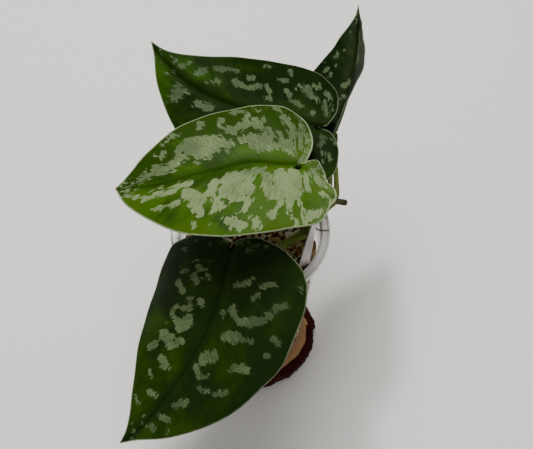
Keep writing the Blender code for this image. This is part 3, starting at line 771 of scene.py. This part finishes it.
def stalk_finish():
    """Green with long streaks, speckles and a brown wash where the brown attribute says so."""
    finish = Finish("stalk_surface", Roughness=0.45, Specular_IOR_Level=0.2)
    length, angle, _ = finish.split(finish.attribute("run", "Vector"))
    around = [finish.times(finish.math(wave, angle), 2.6) for wave in ("COSINE", "SINE")]
    streak = finish.noise(finish.join(finish.times(length, 0.06), *around), detail=3.0, roughness=0.6)
    speckle = finish.noise(finish.place(), 1400.0, roughness=0.6)
    patch = finish.noise(finish.place(), 120.0)
    colour = finish.tint((0.095, 0.130, 0.016), streak, 0.34, 0.62, 1.0, (0.190, 0.245, 0.036))
    colour = finish.tint(colour, patch, 0.45, 0.7, 0.5, (0.25, 0.27, 0.07))
    colour = finish.tint(colour, speckle, 0.60, 0.72, 0.45, (0.24, 0.25, 0.10))
    finish.set("Base Color", finish.mix(finish.attribute("brown"), colour, (0.040, 0.036, 0.014)))
    finish.set("Roughness", finish.step(speckle, 0.3, 0.7, 0.38, 0.55))
    finish.bump(finish.blend(streak, 0.6, speckle, 0.4), 0.15, 0.6)
    return finish.material


def petiole_radius(share, angle, clasp):
    """Flared where it clasps the stem, channelled along one side, and thicker in a knee under the blade."""
    plain = PETIOLE_FOOT_RADIUS + (PETIOLE_TOP_RADIUS - PETIOLE_FOOT_RADIUS) * share
    flare = clasp[0] * math.exp(-(share / clasp[1]) ** 2) + 0.30 * math.exp(-((share - 0.9) / 0.06) ** 2)
    channel = 0.22 * np.exp(-((angle - math.pi) / 0.5) ** 2) * math.exp(-((share - 0.45) / 0.45) ** 4)
    return plain + flare - channel


def vine_radius(share, angle):
    """The stem, with a swollen ring at each node and three shallow ridges that twist along it."""
    rings = sum(VINE_NODE_SWELL * math.exp(-((share - at) / 0.016) ** 2) for at in VINE_NODES)
    plain = VINE_RADIUS * (1 - 0.1 * share)
    return plain + rings + 0.10 * np.sin(3 * angle + 9 * share)


def root_radius(share, angle):
    return ROOT_RADIUS * (1 - 0.2 * share) + 0.05 * np.sin(4 * angle)


def stub_radius(share, angle):
    return STUB_RADIUS * (1.1 + 0.1 * share) + 0.12 * math.sin(25 * share) + 0.08 * np.sin(5 * angle)


def leaf_seat(leaf):
    """Where the stalk meets the blade, and the blade's own upward direction there."""
    place, _, up = midrib(leaf, np.array([2.0]))
    axes = turned_axes(leaf)
    return np.array(leaf.base) + place[0] @ axes, up[0] @ axes


def stalks(finish):
    for key, leaf in LEAVES.items():
        seat, under = leaf_seat(leaf)
        turn = tuple(seat - PETIOLE_APPROACH[key] * under)
        route = PETIOLE_ROUTES[key] + [turn, tuple(seat - min(2.0, 0.6 * PETIOLE_APPROACH[key]) * under)]
        clasp = WIDE_CLASP if key == "front" else PLAIN_CLASP
        points, faces, marks = tube(route, lambda share, angle: petiole_radius(share, angle, clasp))
        brown = 0.75 * np.exp(-(marks[:, 2] / 0.05) ** 2) + 0.2 * np.exp(-((marks[:, 2] - 0.92) / 0.04) ** 2)
        solid("petiole_%s_stalk" % key, points, faces, finish, "petiole_" + key,
              {"run": marks, "brown": brown})


def vine(finish):
    stem = tube(VINE_ROUTE, vine_radius)
    root = tube(ROOT_ROUTE, root_radius, 12)
    stub = tube(STUB_ROUTE, stub_radius, 20)
    points, faces, marks = join_parts([stem, root, stub])
    brown = np.concatenate([
        0.25 + 0.5 * np.exp(-((stem[2][:, 2] - 1) / 0.03) ** 2),
        np.full(len(root[2]), 0.35),
        0.55 + 0.4 * stub[2][:, 2],
    ])
    solid("vine", points, faces, finish, "vine_stem", {"run": marks, "brown": brown})


# Clear pot

def outer_wall(height):
    """The wall's outer radius at a height."""
    share = (height - POT_BOTTOM) / POT_HEIGHT
    return POT_BASE_RADIUS + (POT_TOP_RADIUS - POT_BASE_RADIUS) * share


def arc(centre, radius, start, end, count):
    """Points round a centre, between two angles in degrees."""
    angles = np.radians(np.linspace(start, end, count))
    return [(centre[0] + radius * math.cos(a), centre[1] + radius * math.sin(a)) for a in angles]


def pot_finish():
    """Clear plastic: nearly gone on the flat of the wall, with a painted highlight along the bead and the edge
    of the mouth, and painted light above the mix.
    """
    finish = Finish("clear_plastic_surface", Roughness=0.16, IOR=1.49, Specular_IOR_Level=0.6)
    place = finish.place()
    x, y, height = finish.split(place)
    radius = finish.math("SQRT", finish.add(finish.times(x, x), finish.times(y, y)))
    haze = finish.noise(place, 60.0, 3.0, 0.6)
    scuff = finish.noise(finish.scaled(place, (260, 260, 900)), detail=3.0, roughness=0.6)
    finish.set("Base Color", finish.mix(haze, (0.86, 0.825, 0.81), (0.94, 0.915, 0.905)))
    # Painted highlight: the plastic turns whiter and less clear along the bead and the edge of the mouth, for
    # the bright lines that light draws there.
    up_here = finish.step(height, (POT_TOP - 4) * MM, (POT_TOP - 2.5) * MM)
    bead = finish.step(radius, (FLANGE_RADIUS - 2.0) * MM, (FLANGE_RADIUS - 1.3) * MM)
    mouth = finish.step(finish.math("ABSOLUTE", finish.add(radius, -(POT_TOP_RADIUS - 0.4) * MM)),
                        1.1 * MM, 0.5 * MM)
    painted_rim_highlight = finish.add(finish.math("MULTIPLY_ADD", bead, 0.62, 0.15), finish.times(mouth, 0.50))
    cover = finish.add(finish.step(haze, 0.3, 0.75, 0.05, 0.12), finish.times(up_here, painted_rim_highlight))
    # Painted light: the wall is made whiter above the mix, where light shows through it.
    painted_light_above_mix = finish.times(finish.step(height, (MIX_TOP - 2) * MM, (MIX_TOP + 5) * MM), 0.28)
    cover = finish.add(cover, painted_light_above_mix)
    cover = finish.add(cover, finish.step(scuff, 0.62, 0.8, 0.0, 0.05))
    finish.set("Alpha", cover)
    finish.set("Roughness", finish.step(scuff, 0.4, 0.8, 0.12, 0.30))
    finish.bump(haze, 0.15, 0.3)
    return finish.material


def pot():
    floor_top = POT_BOTTOM + POT_FOOT + POT_FLOOR
    under = POT_TOP - FLANGE_THICKNESS
    inside = [(2, floor_top), (outer_wall(floor_top) - POT_WALL - 3, floor_top)]
    inside += arc((outer_wall(floor_top) - POT_WALL - 3, floor_top + 3), 3, -90, 0, 7)
    lip = arc((POT_TOP_RADIUS - POT_WALL + 0.9, POT_TOP - 0.8), 0.8, 180, 90, 6)
    bead = arc((FLANGE_RADIUS - 1.1, POT_TOP), BEAD_HEIGHT, 180, 30, 8)
    skirt = arc((FLANGE_RADIUS - 0.4, POT_TOP - 0.4), 0.4, 60, 0, 4)
    hem = arc((FLANGE_RADIUS - 0.45, POT_TOP - FLANGE_LIP + 0.45), 0.45, 0, -180, 7)
    turn = [(FLANGE_RADIUS - 0.9, under - 0.1), (outer_wall(under) + 0.5, under)]
    foot = arc((POT_BASE_RADIUS - 1.2, POT_BOTTOM + 1.2), 1.2, 0, -90, 6)
    recess = [(POT_BASE_RADIUS - 2.5, POT_BOTTOM), (POT_BASE_RADIUS - 3.1, POT_BOTTOM + POT_FOOT),
              (2, POT_BOTTOM + POT_FOOT)]
    profile = inside + lip + bead + skirt + hem + turn + [(outer_wall(under), under - 0.4)] + foot + recess
    angle = np.linspace(0, math.tau, POT_SIDES, endpoint=False)
    points = [(0, 0, floor_top)]
    for radius, height in profile:
        points.extend((radius * math.cos(a), radius * math.sin(a), height) for a in angle)
    points.append((0, 0, POT_BOTTOM + POT_FOOT))
    faces = [face[::-1] for face in lathe_faces(len(profile), POT_SIDES)]
    shell = solid("pot_shell", points, faces, pot_finish(), "pot")
    drill_holes(shell, floor_top)
    shell.data.set_sharp_from_angle(angle=math.radians(40))


def drill_holes(shell, floor_top):
    drills = bmesh.new()
    for i in range(DRAIN_COUNT):
        angle = math.tau * i / DRAIN_COUNT + 0.4
        place = Vector((DRAIN_RING * math.cos(angle), DRAIN_RING * math.sin(angle), floor_top)) * MM
        bmesh.ops.create_cone(drills, cap_ends=True, segments=32, radius1=DRAIN_RADIUS * MM,
                              radius2=DRAIN_RADIUS * MM, depth=8 * MM, matrix=Matrix.Translation(place))
    mesh = bpy.data.meshes.new("drills")
    drills.to_mesh(mesh)
    drills.free()
    cutter = bpy.data.objects.new("drills", mesh)
    bpy.context.scene.collection.objects.link(cutter)
    cut = shell.modifiers.new("drain_holes", "BOOLEAN")
    cut.operation = "DIFFERENCE"
    cut.solver = "EXACT"
    cut.object = cutter
    bpy.context.view_layer.update()
    graph = bpy.context.evaluated_depsgraph_get()
    drilled = bpy.data.meshes.new_from_object(shell.evaluated_get(graph))
    shell.modifiers.clear()
    shell.data = drilled
    bpy.data.objects.remove(cutter)


# Potting mix

def ball(subdivisions):
    """Unit directions and triangles of an icosphere."""
    mesh = bmesh.new()
    bmesh.ops.create_icosphere(mesh, subdivisions=subdivisions, radius=1.0)
    mesh.verts.ensure_lookup_table()
    directions = np.array([v.co.normalized() for v in mesh.verts])
    faces = [tuple(v.index for v in face.verts) for face in mesh.faces]
    mesh.free()
    return directions, faces


def turn_matrix(draw):
    axis = Vector((draw.gauss(0, 1), draw.gauss(0, 1), draw.gauss(0, 1)))
    return np.array(Matrix.Rotation(draw.uniform(0, math.tau), 3, axis))


def flake(shape, centre, size, draw, flat=(0.35, 0.7)):
    """A broken chunk: a ball cut back by a few random planes, squeezed and turned."""
    directions, faces = shape
    reach = np.ones(len(directions))
    for _ in range(9):
        normal = np.array([draw.gauss(0, 1) for _ in range(3)])
        normal /= np.linalg.norm(normal)
        facing = directions @ normal
        plane = draw.uniform(0.45, 0.9)
        reach = np.where(facing > 0.05, np.minimum(reach, plane / np.maximum(facing, 0.05)), reach)
    stretch = np.array([draw.uniform(0.9, 1.35), draw.uniform(0.6, 1.0), draw.uniform(*flat)])
    points = directions * reach[:, None] * stretch * size
    points *= 1 + 0.05 * np.array([draw.uniform(-1, 1) for _ in points])[:, None]
    return points @ turn_matrix(draw).T + centre, faces


def mix_finish():
    """Bark in browns, with cream pumice and a few white grains, picked by each chunk's own tone."""
    finish = Finish("bark_mix_surface", Roughness=0.9, Specular_IOR_Level=0.1)
    place = finish.place()
    fibre = finish.noise(finish.scaled(place, (900, 900, 350)), detail=4.0, roughness=0.65)
    pores = finish.noise(place, 1500.0, 3.0, 0.7)
    colour = finish.bands(finish.attribute("tone"), [
        (0.0, (0.090, 0.040, 0.018)), (0.08, (0.270, 0.120, 0.052)), (0.24, (0.400, 0.200, 0.090)),
        (0.40, (0.500, 0.340, 0.160)), (0.54, (0.680, 0.580, 0.310)), (0.72, (0.880, 0.800, 0.560)),
        (0.88, (0.950, 0.900, 0.780))])
    colour = finish.mix(finish.step(fibre, 0.35, 0.65, 0.0, 0.35), colour, (0.32, 0.20, 0.12), "MULTIPLY")
    colour = finish.tint(colour, pores, 0.56, 0.72, 0.55, (0.30, 0.21, 0.13))
    finish.set("Base Color", colour)
    finish.bump(finish.blend(fibre, 0.6, pores, 0.4), 0.6, 0.8)
    return finish.material


def inner_wall(height):
    return outer_wall(height) - POT_WALL - GAP


def on_circle(radius, angle, height):
    return np.array([radius * math.cos(angle), radius * math.sin(angle), height])


def clear_of(place, size, routes):
    """Whether a chunk keeps off the stems and the label."""
    return all(np.linalg.norm(route - place, axis=1).min() > size * 0.9 + reach for route, reach in routes)


def potting_mix():
    """A rough core, a spiral bed of chunks on top, crumbs over it, and rows of chunks along the wall."""
    draw = random.Random(19)
    points, faces, tones = [], [], []
    count = 0

    def add(shape_points, shape_faces, tone):
        nonlocal count
        shape_points = np.array(shape_points)
        shape_points[:, 2] = np.maximum(shape_points[:, 2], MIX_BOTTOM + 0.1)
        radius = np.linalg.norm(shape_points[:, :2], axis=1)
        share = np.minimum(1, (inner_wall(shape_points[:, 2]) - 0.05) / np.maximum(radius, 0.001))
        shape_points[:, :2] *= share[:, None]
        points.append(shape_points)
        faces.extend(tuple(count + k for k in face) for face in shape_faces)
        tones.append(np.full(len(shape_points), tone))
        count += len(shape_points)

    heights = np.linspace(MIX_TOP - 1.5, MIX_BOTTOM + 0.3, CORE_RINGS)
    core = [(0, 0, heights[0])]
    for height in heights:
        for a in np.linspace(0, math.tau, CORE_SIDES, endpoint=False):
            rough = noise.fractal(Vector((6 * math.cos(a), 6 * math.sin(a), height / 7)), 1.0, 2.0, 3)
            core.append(on_circle(inner_wall(height) - CORE_INSET + 1.1 * rough, a, height))
    core.append((0, 0, heights[-1]))
    add(core, [face[::-1] for face in lathe_faces(CORE_RINGS, CORE_SIDES)], CORE_TONE)

    routes = [(smooth_route(VINE_ROUTE, 8), VINE_RADIUS + 0.1),
              (smooth_route(PETIOLE_ROUTES["front"], 8), PETIOLE_FOOT_RADIUS + 0.25),
              (smooth_route(LABEL_ROUTE, 12), 3.2)]
    coarse, smooth = ball(2), ball(3)
    golden = math.pi * (3 - math.sqrt(5))
    reach = inner_wall(MIX_TOP) - 2.5

    def add_clear(shape, centre, size):
        if clear_of(centre, size, routes):
            chunk = flake(shape, centre, size, draw)
            add(*chunk, TOP_TONE_FROM + (1 - TOP_TONE_FROM) * draw.random())

    for i in range(BED_CHUNKS):
        size = draw.uniform(*BED_SIZES)
        height = MIX_TOP - 0.6 + draw.uniform(-1.2, 1.0)
        centre = on_circle(reach * math.sqrt((i + 0.5) / BED_CHUNKS), i * golden, height)
        add_clear(coarse if size < LARGE_CHUNK else smooth, centre, size)
    for _ in range(CRUMBS):
        radius = reach * math.sqrt(draw.random())
        centre = on_circle(radius, draw.uniform(0, math.tau), MIX_TOP + draw.uniform(0.2, 2.6))
        add_clear(coarse, centre, draw.uniform(*CRUMB_SIZES))
    for row in range(int((MIX_TOP - MIX_BOTTOM) / WALL_ROW_STEP) + 1):
        height = MIX_BOTTOM + 2.0 + row * WALL_ROW_STEP
        across = int(math.tau * inner_wall(height) / WALL_CHUNK_STEP)
        for k in range(across):
            a = math.tau * (k + 0.5 * (row % 2) + draw.uniform(-0.35, 0.35)) / across
            level = min(height + draw.uniform(-2.0, 2.0), MIX_TOP - 0.5)
            size = draw.uniform(*WALL_SIZES)
            centre = on_circle(inner_wall(level) - size * draw.uniform(0.25, 0.5), a, level)
            chunk = flake(coarse, centre, size, draw, (0.5, 0.85))
            add(*chunk, WALL_TONE_TO * draw.random())
    thing = solid("bark_mix", np.vstack(points), faces, mix_finish(), "potting_mix",
                  {"tone": np.concatenate(tones)})
    thing.data.set_sharp_from_angle(angle=math.radians(32))


# Wood slice

def bark_radius(angle):
    """The slice's outline: a slightly uneven round with one bark plate standing out to the right."""
    waves = 0.9 * math.sin(2 * angle + 2.9) - 0.3 * math.sin(angle) + 0.3 * math.sin(5 * angle + 3.6)
    ridges = 0.22 * math.sin(13 * angle) + 0.16 * math.sin(21 * angle + 2.0)
    plate = BARK_PLATE * math.exp(-(math.degrees(angle) / 9) ** 4)
    return SLICE_RADIUS + BARK_WAVE * (waves + ridges) + plate


def slice_finish():
    """Sawn wood with rings, rays and stains, and a dark flaky bark round it."""
    finish = Finish("wood_slice_surface", Roughness=0.8, Specular_IOR_Level=0.08)
    place = finish.place()
    ring, bark, angle = (finish.attribute(name) for name in ("ring", "bark", "angle"))
    wobble = finish.noise(place, 45.0, 3.0, 0.6)
    rings = finish.add(finish.times(ring, 0.62), finish.swing(wobble, 1.6))
    wave = finish.math("SINE", finish.times(rings, math.tau))
    rays = finish.noise(finish.join(finish.times(angle, 26.0), finish.times(ring, 0.10), 0.0), 1.0, 3.0, 0.6)
    fibre = finish.noise(place, 1300.0, 4.0, 0.7)
    stain = finish.noise(place, 70.0, 3.0, 0.6)
    wood = finish.tint((0.520, 0.290, 0.130), wave, -0.6, 0.9, 1.0, (0.600, 0.370, 0.180))
    wood = finish.tint(wood, rays, 0.5, 0.75, 0.30, (0.330, 0.165, 0.070))
    wood = finish.tint(wood, fibre, 0.5, 0.75, 0.3, (0.62, 0.42, 0.23))
    wood = finish.tint(wood, stain, 0.45, 0.7, 0.3, (0.340, 0.175, 0.080))
    plates = finish.noise(finish.scaled(place, (140, 140, 60)), 1.0, 5.0, 0.7)
    flakes = finish.cells(finish.scaled(place, (160, 160, 70)))
    skin = finish.tint((0.020, 0.004, 0.004), plates, 0.35, 0.68, 1.0, (0.090, 0.016, 0.013))
    skin = finish.tint(skin, flakes, 0.2, 0.75, 0.6, (0.040, 0.006, 0.006))
    skin = finish.tint(skin, fibre, 0.60, 0.78, 0.30, (0.12, 0.055, 0.035))
    uneven = finish.add(bark, finish.swing(wobble, 0.25))
    finish.set("Base Color", finish.tint(wood, uneven, 0.44, 0.56, 1.0, skin))
    finish.set("Roughness", finish.step(fibre, 0.3, 0.7, 0.7, 0.92))
    finish.bump(finish.blend(plates, 0.6, fibre, 0.4), 0.5, 0.7)
    return finish.material


def slice_face_height(a, radius, barkness):
    """The sawn face's height, rougher and lower under the bark, with the drying cracks cut in."""
    rough = noise.fractal(Vector((radius * math.cos(a) / 2.2, radius * math.sin(a) / 2.2, 3.0)), 1.0, 2.0, 4)
    cover = min(1.0, max(0.0, 0.5 + 2.5 * (barkness - 0.5)))
    height = SLICE_HEIGHT - 0.28 + (0.07 + 0.23 * cover) * rough - 0.35 * cover
    for at, width, start in CRACKS:
        off = abs(math.remainder(a - at - 0.03 * math.sin(radius / 4), math.tau))
        if radius > start:
            height -= CRACK_DEPTH * math.exp(-(off / width) ** 2) * min(1, (radius - start) / 6)
    return height


def bark_wall_radius(a, level):
    """The bark's own radius at a share of the slice's height: bulging, rough and grooved."""
    rough = noise.fractal(Vector((9 * math.cos(a), 9 * math.sin(a), level * 1.3)) * 1.7, 1.0, 2.0, 5)
    groove = abs(noise.noise(Vector((14 * math.cos(a), 14 * math.sin(a), level * 0.8))))
    bulge = 0.5 * math.sin(math.pi * level)
    radius = bark_radius(a) - BARK_SET_BACK + bulge + 0.7 * rough - 0.9 * max(0, 0.16 - groove) / 0.16
    return min(radius, bark_radius(a) + 0.6)


def wood_slice():
    angle = np.linspace(0, math.tau, SLICE_SIDES, endpoint=False)
    centre = np.array(SLICE_CENTRE)
    points, ring, bark, turn = [(*centre, SLICE_HEIGHT - 0.25)], [0.0], [0.0], [0.0]

    def put(a, radius, height, barkness):
        points.append((centre[0] + radius * math.cos(a), centre[1] + radius * math.sin(a), height))
        ring.append(radius)
        bark.append(barkness)
        turn.append(a)

    for i in range(1, FACE_RINGS + 1):
        for a in angle:
            outer = bark_radius(a) - BARK_SET_BACK
            radius = i / FACE_RINGS * outer
            skin = BARK_DEPTH + 0.4 * math.sin(5 * a) + 0.25 * math.sin(13 * a)
            barkness = min(1.0, max(0.0, 0.5 + (skin - (outer - radius)) / 5))
            height = slice_face_height(a, radius, barkness) - (0.5 if i == FACE_RINGS else 0)
            put(a, radius, min(height, SLICE_HEIGHT), barkness)
    for i in range(BARK_RINGS):
        level = 1 - (i + 0.5) / BARK_RINGS
        for a in angle:
            put(a, bark_wall_radius(a, level), level * (SLICE_HEIGHT - 0.7), 1.0)
    for a in angle:
        put(a, bark_radius(a) - BARK_SET_BACK - 0.8, 0.0, 1.0)
    points.append((*centre, 0.0))
    for values in (ring, bark, turn):
        values.append(0.0)
    faces = [face[::-1] for face in lathe_faces(FACE_RINGS + BARK_RINGS + 1, SLICE_SIDES)]
    thing = solid("log_slice", points, faces, slice_finish(), "wood_slice",
                  {"ring": ring, "bark": bark, "angle": turn})
    thing.data.set_sharp_from_angle(angle=math.radians(60))


# Plant label

def label_finish():
    finish = Finish("label_surface", Roughness=0.4, Specular_IOR_Level=0.5)
    place = finish.place()
    cloud = finish.noise(place, 110.0, 3.0, 0.6)
    scuff = finish.noise(finish.scaled(place, (900, 900, 160)), 1.0, 3.0, 0.6)
    soil = finish.noise(place, 700.0, 3.0, 0.7)
    _, _, height = finish.split(place)
    colour = finish.tint((0.84, 0.77, 0.78), cloud, 0.35, 0.65, 1.0, (0.92, 0.88, 0.88))
    colour = finish.tint(colour, scuff, 0.55, 0.75, 0.35, (0.42, 0.36, 0.42))
    near_mix = finish.step(height, (MIX_TOP + 8.7) * MM, (MIX_TOP - 1.3) * MM)
    dirt = finish.times(near_mix, finish.step(soil, 0.40, 0.65))
    colour = finish.mix(finish.times(dirt, 0.8), colour, (0.16, 0.09, 0.05))
    finish.set("Base Color", colour)
    finish.set("Roughness", finish.step(scuff, 0.3, 0.7, 0.3, 0.55))
    finish.bump(scuff, 0.1, 0.5)
    return finish.material


def plant_label():
    """The label's own solid with its edges rounded off."""
    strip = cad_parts["plant_label"].data.copy()
    strip.name = "label_strip"
    edit = bmesh.new()
    edit.from_mesh(strip)
    bmesh.ops.remove_doubles(edit, verts=edit.verts, dist=0.00001)
    bmesh.ops.dissolve_limit(edit, angle_limit=math.radians(1), verts=edit.verts, edges=edit.edges)
    corners = [edge for edge in edit.edges
               if len(edge.link_faces) == 2 and edge.calc_face_angle() > math.radians(50)]
    bmesh.ops.bevel(edit, geom=corners, offset=0.2 * MM, segments=3, profile=0.5, affect="EDGES")
    edit.to_mesh(strip)
    edit.free()
    strip.materials.clear()
    strip.materials.append(label_finish())
    strip.shade_smooth()
    strip.set_sharp_from_angle(angle=math.radians(40))
    dressed(bpy.data.objects.new("label_strip", strip), "plant_label")


# Floor, lights and camera

def floor():
    bpy.ops.mesh.primitive_plane_add(size=FLOOR_SIZE, location=(0, 0, 0))
    plane = bpy.context.object
    plane.name = "floor"
    finish = Finish("floor_surface", Roughness=0.9, Specular_IOR_Level=0.2)
    drift = finish.noise(finish.place(), 3.0)
    finish.set("Base Color", finish.mix(drift, (0.90, 0.885, 0.86), (0.94, 0.925, 0.90)))
    plane.data.materials.append(finish.material)


def lights():
    for name, (place, size, power, colour) in LIGHTS.items():
        light = bpy.data.lights.new(name, "AREA")
        light.shape = "DISK"
        light.size = size
        light.energy = power
        light.color = colour
        lamp = bpy.data.objects.new(name, light)
        lamp.location = place
        lamp.rotation_euler = (Vector(LIGHT_TARGET) - Vector(place)).to_track_quat("-Z", "Y").to_euler()
        bpy.context.scene.collection.objects.link(lamp)
    world = bpy.data.worlds.new("studio")
    world.use_nodes = True
    sky = world.node_tree.nodes["Background"]
    sky.inputs["Color"].default_value = SKY_COLOUR
    sky.inputs["Strength"].default_value = SKY_STRENGTH
    bpy.context.scene.world = world


def camera():
    lens = bpy.data.cameras.new("camera")
    lens.sensor_width = CAMERA_SENSOR
    lens.lens = CAMERA_LENS
    thing = bpy.data.objects.new("camera", lens)
    thing.location = CAMERA_PLACE
    thing.rotation_euler = (math.radians(CAMERA_TILT), 0, 0)
    bpy.context.scene.collection.objects.link(thing)
    bpy.context.scene.camera = thing


spots, blade_faces = blade_grid()
for key, leaf in LEAVES.items():
    leaf_piece(key, leaf, LOOKS[key], spots, blade_faces)
stalk = stalk_finish()
stalks(stalk)
vine(stalk)
pot()
potting_mix()
wood_slice()
plant_label()
floor()
lights()
camera()

bpy.context.view_layer.update()
